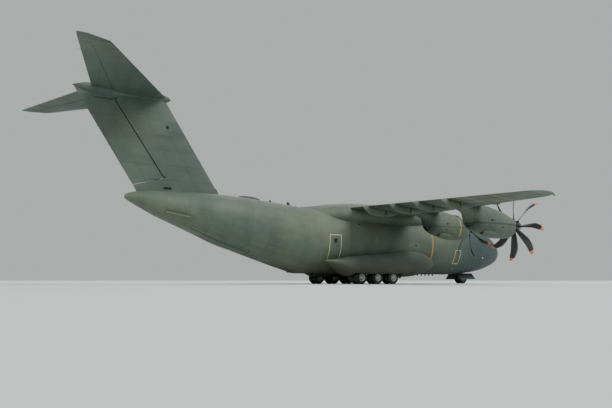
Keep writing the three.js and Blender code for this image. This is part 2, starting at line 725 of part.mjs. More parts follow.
// Fin, rudder, tailplane with its bullet fairing, and elevators
// Bullet rows: station, half width, half height
const BULLET_Z = 13.92;
const BULLET = [
  [36.0, 0, 0],
  [36.25, 0.2, 0.2],
  [37.0, 0.38, 0.4],
  [38.5, 0.46, 0.5],
  [41.0, 0.44, 0.48],
  [42.4, 0.26, 0.3],
  [43.3, 0, 0],
];
function roundRings(rows, y, z, sides, inset = 0) {
  return rows.map(([s, half, rise]) => {
    const ring = [];
    for (let k = 0; k < sides; k++) {
      const angle = (k / sides) * 2 * Math.PI;
      const [across, up] = [Math.max(half - inset, 0), Math.max(rise - inset, 0)];
      ring.push(at(s, y + across * Math.cos(angle), z + up * Math.sin(angle)));
    }
    return ring;
  });
}
const bullet = skin(roundRings(BULLET, 0, BULLET_Z, 16));
const bulletRoom = skin(roundRings(BULLET, 0, BULLET_Z, 16, -GROW));

const rudderSplit = splitSurface(
  finSolid().subtract(hull(25, 39.3, -GROW)).subtract(bulletRoom),
  {
    inner: [36.55, 0, 7.85],
    outer: [40.34, 0, 13.2],
    innerRadius: 0.22,
    outerRadius: 0.2,
    innerEnd: [2.1, -0.6],
    innerGap: 0.06,
    outerGap: 0.11,
    flat: "y",
  },
);
add("fin", mainBody(rudderSplit.fixed), "grey");
add("rudder", rudderSplit.moving, "grey");

function tailParts() {
  const half = skin(wingRows([[0, ...TAILPLANE[0].slice(1)], ...TAILPLANE.slice(1)], 0));
  const split = splitSurface(half, {
    inner: [40.62, 0.72, 14.0],
    outer: [44.02, 8.5, 14.0],
    innerRadius: 0.17,
    outerRadius: 0.07,
    innerEnd: [1, 0],
    innerGap: 0.045,
    outerGap: 0.03,
    flat: "z",
  });
  const fixed = mainBody(split.fixed);
  return { tailplane: union(fixed, mirrored(fixed), bullet), elevator: split.moving };
}
const tail = tailParts();
add("tailplane", mainBody(tail.tailplane), "grey");
addPair("elevator", tail.elevator, "grey");

// Engines: nacelle, engine block and propeller at each of four places
const ENGINES = [
  { name: "inner", y: 6.6, z: 4.74, s: 11.05, tail: 18.6, phase: { left: 20, right: 36 } },
  { name: "outer", y: 12.8, z: 4.45, s: 12.9, tail: 19.6, phase: { left: 36, right: 4 } },
];
const SPINNER = { radius: 0.5, nose: 1.0, back: 0.38 };
const ENGINE_BLOCK = { front: 0.62, rear: 3.6, radius: 0.46, room: 0.04, sides: 12 };
const SHAFT = { radius: 0.14, end: 0.75 };
// Nacelle rows: distance behind the propeller, half width, then the heights over the shaft of the
// top, of the widest point and of the bottom
const NACELLE = [
  [0.42, 0.54, 0.54, 0, -0.8],
  [0.75, 0.72, 0.7, 0, -0.92],
  [1.4, 0.9, 0.94, 0, -1.0],
  [2.4, 0.98, 1.2, 0, -1.02],
  [3.6, 0.92, 1.42, 0, -0.82],
  [4.7, 0.78, 1.46, 0.1, -0.42],
  [5.2, 0.6, 1.46, 0.95, 0.5],
];
const NACELLE_TIP = [0.14, 1.46, 1.28, 1.1];
// Chin intake under the spinner, and the exhaust nozzle under the wing, as distances from the shaft
const INTAKE = { half: 0.38, rise: 0.1, drop: 0.66, depth: 0.9 };
const NOZZLE = { front: 3.9, rear: 4.95, radius: 0.36, wall: 0.04, mouth: 0.5, up: 0.03 };

function nacelle({ y, z, s, tail: end }) {
  const rings = [...NACELLE, [end - s, ...NACELLE_TIP]].map(([behind, half, top, wide, bottom]) => {
    const ring = [];
    for (let k = 0; k < 16; k++) {
      const angle = (k / 16) * 2 * Math.PI;
      const reach = Math.sin(angle) > 0 ? top - wide : wide - bottom;
      ring.push(at(s + behind, y + half * Math.cos(angle), z + wide + reach * Math.sin(angle)));
    }
    return ring;
  });
  const room = ENGINE_BLOCK.radius + ENGINE_BLOCK.room;
  const cavity = bar([s, y, z], [s + ENGINE_BLOCK.rear + FIT, y, z], room, room, 16);
  const intake = skin(
    [0, NACELLE[0][0] + INTAKE.depth].map((behind) => {
      const ring = [];
      for (let k = 0; k < 12; k++) {
        const angle = (k / 12) * 2 * Math.PI;
        const up = INTAKE.rise * Math.sin(angle) - INTAKE.drop;
        ring.push(at(s + behind, y + INTAKE.half * Math.cos(angle), z + up));
      }
      return ring;
    }),
  );
  const nozzleZ = z + NOZZLE.up;
  const pipe = (from, to, radius) =>
    bar([s + from, y, nozzleZ], [s + to, y, nozzleZ], radius, radius, 16);
  const nozzle = pipe(NOZZLE.front, NOZZLE.rear, NOZZLE.radius);
  const mouth = pipe(NOZZLE.rear - NOZZLE.mouth, NOZZLE.rear + 0.1, NOZZLE.radius - NOZZLE.wall);
  const body = union(skin(rings), nozzle).subtract(mouth).subtract(intake);
  return mainBody(body.subtract(wingRoom).subtract(cavity));
}

function engineBlock({ y, z, s }) {
  const { front, rear: back, radius, sides } = ENGINE_BLOCK;
  return bar([s + front, y, z], [s + back, y, z], radius, radius, sides).subtract(
    bore([s + front - 0.1, y, z], [s + SHAFT.end + 0.01, y, z], SHAFT.radius),
  );
}

// Blade stations: radius, chord, pitch in degrees, sweep, thickness over chord
const BLADE = [
  [0.35, 0.28, 66, 0, 0.4],
  [0.9, 0.44, 55, 0.05, 0.16],
  [1.65, 0.54, 44, 0.09, 0.1],
  [2.35, 0.42, 36, -0.08, 0.07],
  [2.665, 0.14, 33, -0.28, 0.06],
];
// Blade section: share of the chord ahead of its middle, share of the thickness over it
const BLADE_SECTION = [
  [0.5, 0],
  [0.2, 0.5],
  [-0.2, 0.42],
  [-0.5, 0],
  [-0.2, -0.42],
  [0.2, -0.5],
];
const BLADES = 8;

// The propeller stands at its own centre, facing +X, and turns about X. The phase is its rest angle.
function propeller(hand, phase) {
  const profile = [
    [0, SPINNER.nose],
    [0.16, 0.92],
    [0.36, 0.6],
    [0.47, 0.15],
    [SPINNER.radius, -0.15],
    [SPINNER.radius, -SPINNER.back],
    [SHAFT.radius, -SPINNER.back],
    [SHAFT.radius, -SHAFT.end],
    [0, -SHAFT.end],
  ];
  const spinner = new THREE.LatheGeometry(profile.map(([r, x]) => new THREE.Vector2(r, x)), 14);
  spinner.rotateZ(-Math.PI / 2);
  const rings = BLADE.map(([radius, chord, pitch, sweep, thickness]) => {
    const angle = THREE.MathUtils.degToRad(pitch);
    return BLADE_SECTION.map(([along, up]) => {
      const u = along * chord;
      const v = up * chord * thickness;
      const forward = u * Math.sin(angle) + v * Math.cos(angle);
      const across = sweep + u * Math.cos(angle) - v * Math.sin(angle);
      return [forward, hand * across, radius];
    });
  });
  const blade = geometryOf(skin(rings));
  const copies = [];
  const rest = THREE.MathUtils.degToRad(phase);
  for (let k = 0; k < BLADES; k++) {
    copies.push(solidOf(blade.clone().rotateX(rest + (k / BLADES) * 2 * Math.PI)));
  }
  return union(solidOf(spinner), ...copies);
}

for (const [side, sign] of [["left", 1], ["right", -1]]) {
  for (const engine of ENGINES) {
    const place = (solid) => (sign > 0 ? solid : mirrored(solid));
    add(`nacelle_${side}_${engine.name}`, place(nacelle(engine)), "grey");
    add(`engine_${side}_${engine.name}`, place(engineBlock(engine)), "steel");
    const hand = engine.name === "inner" ? sign : -sign;
    const centre = at(engine.s, sign * engine.y, engine.z);
    const rotor = propeller(hand, engine.phase[side]);
    add(`propeller_${side}_${engine.name}`, rotor, "black", model, centre);
  }
}

// Sponsons: station, centre y, half width, centre z, half height
const SPONSON = [
  [11.9, 2.9, 0.05, 1.85, 0.05],
  [12.6, 2.85, 0.6, 1.84, 0.6],
  [13.6, 2.7, 1.1, 1.82, 0.98],
  [15.0, 2.6, 1.42, 1.75, 1.13],
  [16.6, 2.6, 1.5, 1.66, 1.06],
  [19.0, 2.6, 1.5, 1.54, 0.95],
  [21.4, 2.6, 1.46, 1.47, 0.8],
  [22.3, 2.6, 1.25, 1.66, 0.42],
  [23.0, 2.6, 0.9, 1.82, 0.2],
  [23.6, 2.6, 0.05, 1.92, 0.05],
];
const WHEEL_STATIONS = [17.2, 18.9, 20.6];
const MAIN = { y: 3.1, radius: 0.55, twin: 0.36 };
const NOSE = { s: 5.2, radius: 0.495, twin: 0.27 };
const WELL = { front: 16.2, rear: 21.4, inner: 2.46, outer: 3.74, top: 1.78 };
const TYRE_SIDES = 16;
const AXLE = 0.075;
const FLAT = Math.cos(Math.PI / TYRE_SIDES);

function sponson() {
  const rings = SPONSON.map(([s, y, half, z, rise]) => {
    const ring = [];
    for (let k = 0; k < 20; k++) {
      const angle = ((k + 0.5) / 20) * 2 * Math.PI;
      const soft = (v) => Math.sign(v) * Math.abs(v) ** 0.85;
      ring.push(at(s, y + half * soft(Math.cos(angle)), z + rise * soft(Math.sin(angle))));
    }
    return ring;
  });
  const well = block([WELL.front, WELL.rear], [WELL.inner, WELL.outer], [0, WELL.top]);
  return mainBody(skin(rings).subtract(hull(8, 30, -GROW)).subtract(well));
}
addPair("sponson", sponson(), "grey");

// Main legs: one beam on the well's roof carries three trailing arms and dampers
function mainLegs() {
  const { y, radius } = MAIN;
  const axleZ = radius * FLAT;
  const roof = WELL.top - FIT;
  const beam = block([WELL.front + 0.1, 20.75], [y - 0.13, y + 0.13], [roof - 0.14, roof]);
  const arms = WHEEL_STATIONS.map((s) => {
    const pivot = s - 0.72;
    return union(
      bar([pivot, y, roof - 0.1], [pivot, y, 0.86], 0.1),
      bar([pivot - 0.02, y - 0.12, 0.86], [pivot - 0.02, y + 0.12, 0.86], 0.13),
      bar([pivot, y, 0.86], [s, y, axleZ], 0.1, 0.08),
      bar([s - 0.16, y, roof - 0.1], [s - 0.12, y, 0.62], 0.09, 0.06),
      bar([s, y - 0.12, axleZ], [s, y + 0.12, axleZ], 0.15, 0.15, 12),
    ).subtract(bore([s, y - 0.2, axleZ], [s, y + 0.2, axleZ], AXLE));
  });
  return union(beam, ...arms);
}
addPair("main_legs", mainLegs(), "dark");

// A twin wheel with its axle, about its own centre, turning about Y
function twinWheel({ radius, twin }) {
  const width = twin * 1.1;
  // radius share and side offset from the tyre's middle, outer face first
  const tyre = [
    [0.34, 0.36],
    [0.56, 0.42],
    [0.8, 0.5],
    [1, 0.28],
    [1, -0.28],
    [0.8, -0.5],
    [0.56, -0.42],
  ];
  const side = (sign) => tyre.map(([share, off]) => [radius * share, sign * (twin + off * width)]);
  const tip = twin + 0.56 * width;
  const left = [[0, tip], ...side(1), [AXLE, twin - 0.36 * width]];
  const right = left.map(([r, y]) => [r, -y]).reverse();
  const profile = [...left, ...right].map(([r, y]) => new THREE.Vector2(r, y));
  const wheel = new THREE.LatheGeometry(profile, TYRE_SIDES, Math.PI / TYRE_SIDES);
  return solidOf(wheel);
}
const mainWheel = twinWheel(MAIN);
for (const [side, sign] of [["left", 1], ["right", -1]]) {
  WHEEL_STATIONS.forEach((s, i) => {
    const centre = at(s, sign * MAIN.y, MAIN.radius * FLAT);
    add(`main_wheels_${side}_${i + 1}`, mainWheel, "rubber", model, centre);
  });
}

// Nose gear: fixed leg, steered fork and twin wheel
const PISTON = 0.085;
function noseLeg() {
  const { s } = NOSE;
  const cross = BAY.half - FIT;
  return union(
    bar([s, 0, 2.02], [s, 0, 1.02], 0.13, 0.13, 12),
    bar([s, -cross, 1.9], [s, cross, 1.9], 0.08),
    bar([s - 0.95, 0, 1.95], [s - 0.03, 0, 1.2], 0.06),
    bar([s - 0.95, -cross, 1.95], [s - 0.95, cross, 1.95], 0.05),
    block([s - 0.24, s - 0.1], [-0.09, 0.09], [1.05, 1.19]),
  ).subtract(bore([s, 0, 0.9], [s, 0, 1.55], PISTON, 16));
}
function noseFork() {
  const { s, radius } = NOSE;
  const axleZ = radius * FLAT;
  return union(
    bar([s, 0, axleZ], [s, 0, 1.5], PISTON, PISTON, 12),
    bar([s, 0, 0.9], [s, 0, 1.02 - RUN], 0.12, 0.12, 12),
    bar([s, -0.11, axleZ], [s, 0.11, axleZ], 0.14, 0.14, 12),
    block([s + 0.06, s + 0.22], [-0.05, 0.05], [0.55, 0.95]),
  ).subtract(bore([s, -0.2, axleZ], [s, 0.2, axleZ], AXLE));
}
add("nose_leg", noseLeg(), "dark");
add("nose_fork", noseFork(), "dark");
add("nose_wheels", twinWheel(NOSE), "rubber", model, at(NOSE.s, 0, NOSE.radius * FLAT));

// Nose gear doors, hung open from the skin beside the bay
function noseDoor() {
  const outline = [
    [BAY.half - 0.05, 1.02],
    [BAY.half - 0.01, 1.02],
    [BAY.half + 0.48, 0.42],
    [BAY.half + 0.44, 0.42],
  ];
  const shape = new THREE.Shape(outline.map(([y, z]) => new THREE.Vector2(y, z)));
  const plate = new THREE.ExtrudeGeometry(shape, {
    depth: BAY.rear - BAY.front - 0.1,
    bevelEnabled: false,
  });
  plate.applyMatrix4(
    new THREE.Matrix4().makeBasis(
      new THREE.Vector3(0, 1, 0),
      new THREE.Vector3(0, 0, 1),
      new THREE.Vector3(1, 0, 0),
    ),
  );
  plate.translate(...at(BAY.rear - 0.05, 0, 0));
  return solidOf(plate).subtract(hull(3, 8, -GROW));
}
addPair("nose_door", noseDoor(), "grey");

export default model;
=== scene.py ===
# Looks of the half-scale transport plane: skins, fittings, finishes, floor, light and camera
import json
import math

import bmesh
import bpy
import numpy as np
from mathutils import Matrix, Vector
from mathutils.bvhtree import BVHTree

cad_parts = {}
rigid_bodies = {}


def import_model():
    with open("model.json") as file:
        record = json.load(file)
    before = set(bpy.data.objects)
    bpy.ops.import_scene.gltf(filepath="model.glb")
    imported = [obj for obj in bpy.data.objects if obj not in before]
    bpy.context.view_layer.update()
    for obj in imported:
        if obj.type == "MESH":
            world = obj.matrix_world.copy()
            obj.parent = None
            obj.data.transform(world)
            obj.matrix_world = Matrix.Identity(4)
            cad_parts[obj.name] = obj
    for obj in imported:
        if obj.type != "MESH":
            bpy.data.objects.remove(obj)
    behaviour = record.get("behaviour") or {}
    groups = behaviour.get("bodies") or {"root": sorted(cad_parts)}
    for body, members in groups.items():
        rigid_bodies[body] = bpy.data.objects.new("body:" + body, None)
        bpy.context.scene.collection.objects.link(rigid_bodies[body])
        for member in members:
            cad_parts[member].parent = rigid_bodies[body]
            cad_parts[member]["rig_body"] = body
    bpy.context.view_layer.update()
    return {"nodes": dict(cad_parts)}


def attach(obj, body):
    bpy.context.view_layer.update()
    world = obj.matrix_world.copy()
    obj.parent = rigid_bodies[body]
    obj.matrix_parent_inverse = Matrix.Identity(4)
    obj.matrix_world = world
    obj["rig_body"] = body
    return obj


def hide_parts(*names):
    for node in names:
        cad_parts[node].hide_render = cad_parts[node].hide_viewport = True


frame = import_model()

# Full-size stations are metres aft of the nose tip, heights are above the floor
LENGTH = 45.1
SCALE = 0.5
SIDES = (("left", 1), ("right", -1))
NODES = frame["nodes"]


def at(s, y, z):
    return Vector(((LENGTH / 2 - s) * SCALE, y * SCALE, z * SCALE))


def to_model(s, y, z):
    """The move of a full-size piece from the origin to its place on the model."""
    return Matrix.Translation(at(s, y, z)) @ Matrix.Scale(SCALE, 4)


def turned(share, axis="X", start=0.0):
    """A turn by a share of the full circle."""
    return Matrix.Rotation(start + share * 2 * math.pi, 4, axis)


def mix(a, b, t):
    return a + (b - a) * t


def numbers(values):
    return (float(value) for value in values)


# Modelling with primitives and edit-mode operators
def deselect_all():
    if bpy.context.object and bpy.context.object.mode != "OBJECT":
        bpy.ops.object.mode_set(mode="OBJECT")
    bpy.ops.object.select_all(action="DESELECT")


def take(obj):
    deselect_all()
    obj.select_set(True)
    bpy.context.view_layer.objects.active = obj


def edit(obj):
    take(obj)
    bpy.ops.object.mode_set(mode="EDIT")
    bpy.ops.mesh.select_all(action="SELECT")


def done(obj):
    bpy.ops.object.mode_set(mode="OBJECT")
    return obj


def pick(obj, test, kind="FACE"):
    """Selects the faces or edges that pass the test, in edit mode."""
    bpy.ops.mesh.select_all(action="DESELECT")
    bpy.ops.mesh.select_mode(type=kind)
    mesh = bmesh.from_edit_mesh(obj.data)
    for item in {"FACE": mesh.faces, "EDGE": mesh.edges}[kind]:
        if test(item):
            item.select_set(True)
    mesh.select_flush_mode()
    bmesh.update_edit_mesh(obj.data)


def tidy_mesh(obj, merge=1e-5, angle=35):
    """Merges doubles, turns the faces outwards and smooths below the angle."""
    edit(obj)
    bpy.ops.mesh.remove_doubles(threshold=merge)
    bpy.ops.mesh.normals_make_consistent(inside=False)
    done(obj)
    bpy.ops.object.shade_smooth_by_angle(angle=math.radians(angle))
    return obj


def finish_with(obj, kind, **settings):
    take(obj)
    modifier = obj.modifiers.new(kind.lower(), kind)
    for name, value in settings.items():
        setattr(modifier, name, value)
    bpy.ops.object.modifier_apply(modifier=modifier.name)
    return obj


def bevelled(obj, width, angle=40):
    limit = {"limit_method": "ANGLE", "angle_limit": math.radians(angle)}
    return finish_with(obj, "BEVEL", width=width, segments=2, **limit)


def joined(name, parts):
    deselect_all()
    for part in parts:
        part.select_set(True)
    bpy.context.view_layer.objects.active = parts[0]
    if len(parts) > 1:
        bpy.ops.object.join()
    parts[0].name = parts[0].data.name = name
    return parts[0]


def copy_of(obj, matrix=Matrix.Identity(4)):
    twin = obj.copy()
    twin.data = obj.data.copy()
    twin.data.transform(matrix)
    if matrix.determinant() < 0:
        twin.data.flip_normals()
    bpy.context.collection.objects.link(twin)
    return twin


def stack(rows, sides=24, aim=(0, 0, 1), place=(0, 0, 0), angle=35):
    """Rings extruded one from the last: (along, half across, half up, shift across, shift up, turn)."""
    rows = [tuple(row) + (row[1], 0, 0, 0)[len(row) - 2 :] for row in rows]
    bpy.ops.mesh.primitive_circle_add(vertices=sides, radius=1, fill_type="NGON")
    obj = bpy.context.object
    edit(obj)
    old = (0, 1, 1, 0, 0, 0)
    for number, row in enumerate(rows):
        step = tuple(new - last for new, last in zip(row, old))
        move = (step[3], step[4], step[0])
        if number:
            bpy.ops.mesh.extrude_region_move(TRANSFORM_OT_translate={"value": move})
        else:
            bpy.ops.transform.translate(value=move)
        centre = (row[3], row[4], row[0])
        if old[5]:
            turn_ring(-old[5], centre)
        bpy.ops.transform.resize(value=(row[1] / old[1], row[2] / old[2], 1), center_override=centre)
        if row[5]:
            turn_ring(row[5], centre)
        old = row
    done(obj)
    tidy_mesh(obj, angle=angle)
    aimed = Vector((0, 0, 1)).rotation_difference(Vector(aim)).to_matrix().to_4x4()
    obj.data.transform(Matrix.Translation(Vector(place)) @ aimed)
    return obj


def turn_ring(angle, centre):
    # With no window this operator turns the other way
    bpy.ops.transform.rotate(value=-angle, orient_axis="Z", center_override=centre)


def slab(size, taper=(1, 1), sweep=0, bevel=0.0):
    """A plate whose top is tapered along and across, and swept, with rounded edges."""
    bpy.ops.mesh.primitive_cube_add(size=1)
    obj = bpy.context.object
    edit(obj)
    bpy.ops.transform.resize(value=size)
    bpy.ops.transform.translate(value=(0, 0, size[2] / 2))
    pick(obj, lambda face: face.normal.z > 0.9)
    bpy.ops.transform.resize(value=(taper[0], taper[1], 1), center_override=(0, 0, size[2]))
    bpy.ops.transform.translate(value=(sweep, 0, 0))
    done(obj)
    return tidy_mesh(bevelled(obj, bevel) if bevel else obj)


def cut(obj, cutter, operation="DIFFERENCE", keep=False):
    finish_with(obj, "BOOLEAN", object=cutter, operation=operation, solver="EXACT")
    if not keep:
        bpy.data.objects.remove(cutter)
    return obj


def loft(stations, spot, sides, angle=35):
    """A closed body: unit rings extruded along, then each ring brought to its own outline."""
    body = stack([(s, 1) for s in stations], sides)
    for vertex in body.data.vertices:
        x, y, s = vertex.co
        vertex.co = spot(s, math.atan2(y, x))
    return tidy_mesh(body, 2e-5, angle)


def rod(start, end, radius, end_radius=None, sides=10):
    """A straight bar between two model points."""
    along = Vector(end) - Vector(start)
    last = end_radius or radius
    near = [(0, radius * 0.8), (radius * 0.3, radius)]
    far = [(along.length - last * 0.3, last), (along.length, last * 0.8)]
    return stack(near + far, sides, aim=along.normalized(), place=start)


def plank(corners):
    """A flat-sided bar from eight corners: the four of one end, then the four of the other."""
    bpy.ops.mesh.primitive_cube_add(size=2)
    obj = bpy.context.object
    order = {(-1, -1): 0, (1, -1): 1, (1, 1): 2, (-1, 1): 3}
    for vertex in obj.data.vertices:
        end, u, v = (round(value) for value in vertex.co)
        vertex.co = corners[order[(u, v)] + (4 if end > 0 else 0)]
    return tidy_mesh(obj)


class Curves:
    """Smooth curves through the columns of a table, with no overshoot, against its first column."""

    def __init__(self, rows, stretch=None):
        self.stretch = stretch or (lambda value: value)
        table = np.array(rows, dtype=float)
        self.keys = self.stretch(table[:, 0])
        self.values = table[:, 1:]
        steps = np.diff(self.keys)[:, None]
        rates = np.diff(self.values, axis=0) / steps
        self.slopes = np.zeros_like(self.values)
        self.slopes[0], self.slopes[-1] = rates[0], rates[-1]
        before, after = rates[:-1], rates[1:]
        first, second = 2 * steps[1:] + steps[:-1], steps[1:] + 2 * steps[:-1]
        same_way = before * after > 0
        safe_before, safe_after = np.where(same_way, before, 1), np.where(same_way, after, 1)
        mean = (first + second) / (first / safe_before + second / safe_after)
        self.slopes[1:-1] = np.where(same_way, mean, 0)

    def at(self, value):
        key = np.clip(self.stretch(np.asarray(value, dtype=float)), self.keys[0], self.keys[-1])
        i = np.clip(np.searchsorted(self.keys, key, side="right") - 1, 0, len(self.keys) - 2)
        step = (self.keys[i + 1] - self.keys[i])[..., None]
        t = (key - self.keys[i])[..., None] / step
        level = (2 * t**3 - 3 * t**2 + 1) * self.values[i] + (3 * t**2 - 2 * t**3) * self.values[i + 1]
        lean = (t**3 - 2 * t**2 + t) * self.slopes[i] + (t**3 - t**2) * self.slopes[i + 1]
        return level + step * lean


def ends_eased(start, end):
    """Spreads the stations near both ends, where a body closes to a round point."""
    return lambda s: np.sqrt(np.maximum(s - start, 0)) - np.sqrt(np.maximum(end - s, 0))


def sliced(obj, planes):
    """Cuts a mesh along planes, leaving both sides, so that its long faces can be rounded."""
    mesh = bmesh.new()
    mesh.from_mesh(obj.data)
    for spot, normal in planes:
        parts = mesh.verts[:] + mesh.edges[:] + mesh.faces[:]
        bmesh.ops.bisect_plane(mesh, geom=parts, dist=1e-5, plane_co=spot, plane_no=normal)
    mesh.to_mesh(obj.data)
    mesh.free()


# The hull: station, half width, top, bottom, height of the widest point, full-size metres
SECTIONS = (
    (0, 0, 3, 3, 3), (0.15, 0.46, 3.46, 2.62, 3.02), (0.6, 0.97, 4.04, 2.24, 3.06),
    (1.3, 1.5, 4.56, 1.88, 3.12), (2.2, 1.94, 5.06, 1.56, 3.22), (3.2, 2.29, 5.68, 1.3, 3.36),
    (4.3, 2.56, 6.02, 1.12, 3.5), (6, 2.76, 6.25, 0.96, 3.6), (8, 2.82, 6.36, 0.88, 3.66),
    (24.9, 2.82, 6.46, 0.88, 3.7), (25.5, 2.82, 6.525, 1.051, 3.815), (26.2, 2.82, 6.6, 1.25, 3.95),
    (30.5, 2.78, 6.9, 2.58, 4.85), (32, 2.62, 6.96, 3.05, 5.1), (33.5, 2.3, 6.98, 3.66, 5.35),
    (35.3, 1.78, 6.95, 4.38, 5.65), (37.05, 1.22, 6.88, 5.06, 5.95), (38.2, 0.8, 6.78, 5.6, 6.18),
    (39, 0.42, 6.6, 6, 6.3), (39.35, 0, 6.32, 6.32, 6.32),
)
HULL_ENDS = (
    ("radome", 0.95), ("cockpit_shell", 3.95), ("forward_fuselage", 12), ("centre_fuselage", 21),
    ("rear_fuselage", 35.3), ("tail_cone", LENGTH),
)
HULL_FACETS = 28
HULL_FULLNESS = 0.94
HULL_ROUND = 84
WALL = 0.14
NOSE_CUTS = [(0.1 * k) ** 2 for k in range(1, 21)]
HULL_CUTS = NOSE_CUTS + [4 + 0.4 * k for k in range(1, 88)] + [39.1, 39.25, 39.32]
HULL = Curves(SECTIONS, ends_eased(0, SECTIONS[-1][0]))
FACETED = np.array(SECTIONS, dtype=float)


def hull_outline(rows, angle, inset=0.0):
    """Sideways place and height on the hull's outline, for rows of its four measures."""
    half, top, bottom, wide = (rows[..., n] for n in range(4))
    low = np.sin(angle) < 0
    power = np.where(low, HULL_FULLNESS, 1.0)
    across = np.sign(np.cos(angle)) * np.abs(np.cos(angle)) ** power
    up = np.sign(np.sin(angle)) * np.abs(np.sin(angle)) ** power
    rise = np.where(low, wide - bottom, top - wide) - inset
    return (half - inset) * across, wide + rise * up


def hull_loft(start, end, inset=0.0):
    def spot(s, angle):
        return at(s, *numbers(hull_outline(HULL.at(s), angle, inset)))

    stations = [start, *(s for s in HULL_CUTS if start < s < end), end]
    return loft(stations, spot, HULL_ROUND)


# Vertices this near the faceted outline, in full-size metres, belong to the outer skin
SKIN_REACH = 0.004
TAIL_FROM = 24.0
TAIL_AXIS_END = (39.0, 0, 6.3)


def rounded_hull(obj):
    """Slices a faceted hull piece finely and moves its outer skin on to the round hull."""
    low, high = (LENGTH / 2 - obj.bound_box[n][0] / SCALE for n in (4, 0))
    planes = [(at(s, 0, 0), (1, 0, 0)) for s in HULL_CUTS if low < s < high]
    raised = (low + high) / 2 > TAIL_FROM
    through = at(TAIL_FROM, 0, 3.7 if raised else 3.6)
    axis = (through - at(*TAIL_AXIS_END)).normalized() if raised else Vector((1, 0, 0))
    for k in range(HULL_FACETS // 2):
        angle = k / HULL_FACETS * 2 * math.pi
        planes.append((through, axis.cross(Vector((0, math.cos(angle), math.sin(angle))))))
    sliced(obj, planes)
    count = len(obj.data.vertices)
    places = np.empty(count * 3)
    obj.data.vertices.foreach_get("co", places)
    places = places.reshape(count, 3)
    s = LENGTH / 2 - places[:, 0] / SCALE
    flat = np.stack([np.interp(s, FACETED[:, 0], FACETED[:, n]) for n in range(1, 5)], axis=-1)
    corners = (np.arange(HULL_FACETS) + 0.5) / HULL_FACETS * 2 * np.pi
    ring = np.stack(hull_outline(flat[:, None, :], corners[None, :]), axis=-1)
    edge = np.roll(ring, -1, axis=1) - ring
    off = places[:, None, 1:] / SCALE - ring
    share = np.clip((off * edge).sum(-1) / np.maximum((edge * edge).sum(-1), 1e-12), 0, 1)
    gap = np.linalg.norm(off - share[..., None] * edge, axis=-1)
    best = gap.argmin(axis=1)
    rows = np.arange(count)
    outer = gap[rows, best] < SKIN_REACH
    angle = (best + 0.5 + share[rows, best]) / HULL_FACETS * 2 * np.pi
    round_places = np.stack(hull_outline(HULL.at(s), angle), axis=-1) * SCALE
    places[outer, 1:] = round_places[outer]
    obj.data.vertices.foreach_set("co", places.ravel())
    obj.data.update()


# Seats on the skins, for whatever stands on them
trees = {}
skins = {}


def skin_tree(node):
    if node not in trees:
        mesh = skins.get(node, NODES[node]).data
        corners = [vertex.co for vertex in mesh.vertices]
        trees[node] = BVHTree.FromPolygons(corners, [tuple(face.vertices) for face in mesh.polygons])
    return trees[node]


def along_hull(s):
    """The hull node that carries a station."""
    return next(node for node, end in HULL_ENDS if s < end)


def stood(obj, place, node=None, ahead=(1, 0, 0), sink=0.0):
    """Moves a fitting made at the origin, foot down and nose to +X, on to a skin."""
    spot, up, _, _ = skin_tree(node or along_hull(place[0])).find_nearest(at(*place))
    side = up.cross(Vector(ahead)).normalized()
    turn = Matrix((side.cross(up), side, up)).transposed().to_4x4()
    obj.data.transform(Matrix.Translation(spot - up * sink) @ turn)
    return obj


def piece(name, made, material, slot="hull_paint", body="airframe", node=None):
    """Names what is made, with its finish and body, and puts it in a node's place. The slot is not used."""
    obj = joined(name, made if isinstance(made, list) else [made])
    if material:
        obj.data.materials.clear()
        obj.data.materials.append(material)
    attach(obj, body)
    if node:
        skins[node] = obj
        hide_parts(node)
    return obj


# Material making
class Web:
    """A node tree that is being wired."""

    def __init__(self, tree):
        self.tree = tree

    def add(self, kind, inputs=None, **settings):
        node = self.tree.nodes.new("ShaderNode" + kind)
        for name, value in settings.items():
            setattr(node, name, value)
        self.feed(node.inputs, inputs or {})
        return node

    def feed(self, sockets, values):
        for key, value in values.items():
            if isinstance(value, bpy.types.NodeSocket):
                self.tree.links.new(value, sockets[key])
            else:
                sockets[key].default_value = value

    def use(self, group, *values):
        """The outputs of a node group that is fed these values in order."""
        return self.add("Group", dict(enumerate(values)), node_tree=group).outputs

    def math(self, operation, *values):
        return self.add("Math", dict(enumerate(values)), operation=operation).outputs[0]

    def times(self, first, *others):
        for other in others:
            first = self.math("MULTIPLY", first, other)
        return first

    def plus(self, first, second):
        return self.math("ADD", first, second)

    def minus(self, first, second):
        return self.math("SUBTRACT", first, second)

    def size(self, value):
        return self.math("ABSOLUTE", value)

    def round_way(self, up, out, radius):
        """The way round a skin: the angle of a point, times a radius."""
        return self.times(self.math("ARCTAN2", up, out), radius)

    def ramp(self, value, low, high, to_low=0.0, to_high=1.0):
        inputs = {"Value": value, "From Min": low, "From Max": high, "To Min": to_low, "To Max": to_high}
        return self.add("MapRange", inputs, interpolation_type="SMOOTHSTEP").outputs[0]

    def blend(self, factor, first, second):
        return self.add("Mix", {0: factor, 6: first, 7: second}, data_type="RGBA").outputs[2]

    def noise(self, vector, scale, detail, rough):
        inputs = {"Vector": vector, "Scale": scale, "Detail": detail, "Roughness": rough}
        return self.add("TexNoise", inputs).outputs[0]

    def bump(self, height, distance, strength):
        inputs = {"Height": height, "Distance": distance, "Strength": strength}
        return self.add("Bump", inputs).outputs[0]

    def place(self):
        vector = self.add("TexCoord").outputs["Object"]
        return vector, *self.add("SeparateXYZ", {"Vector": vector}).outputs


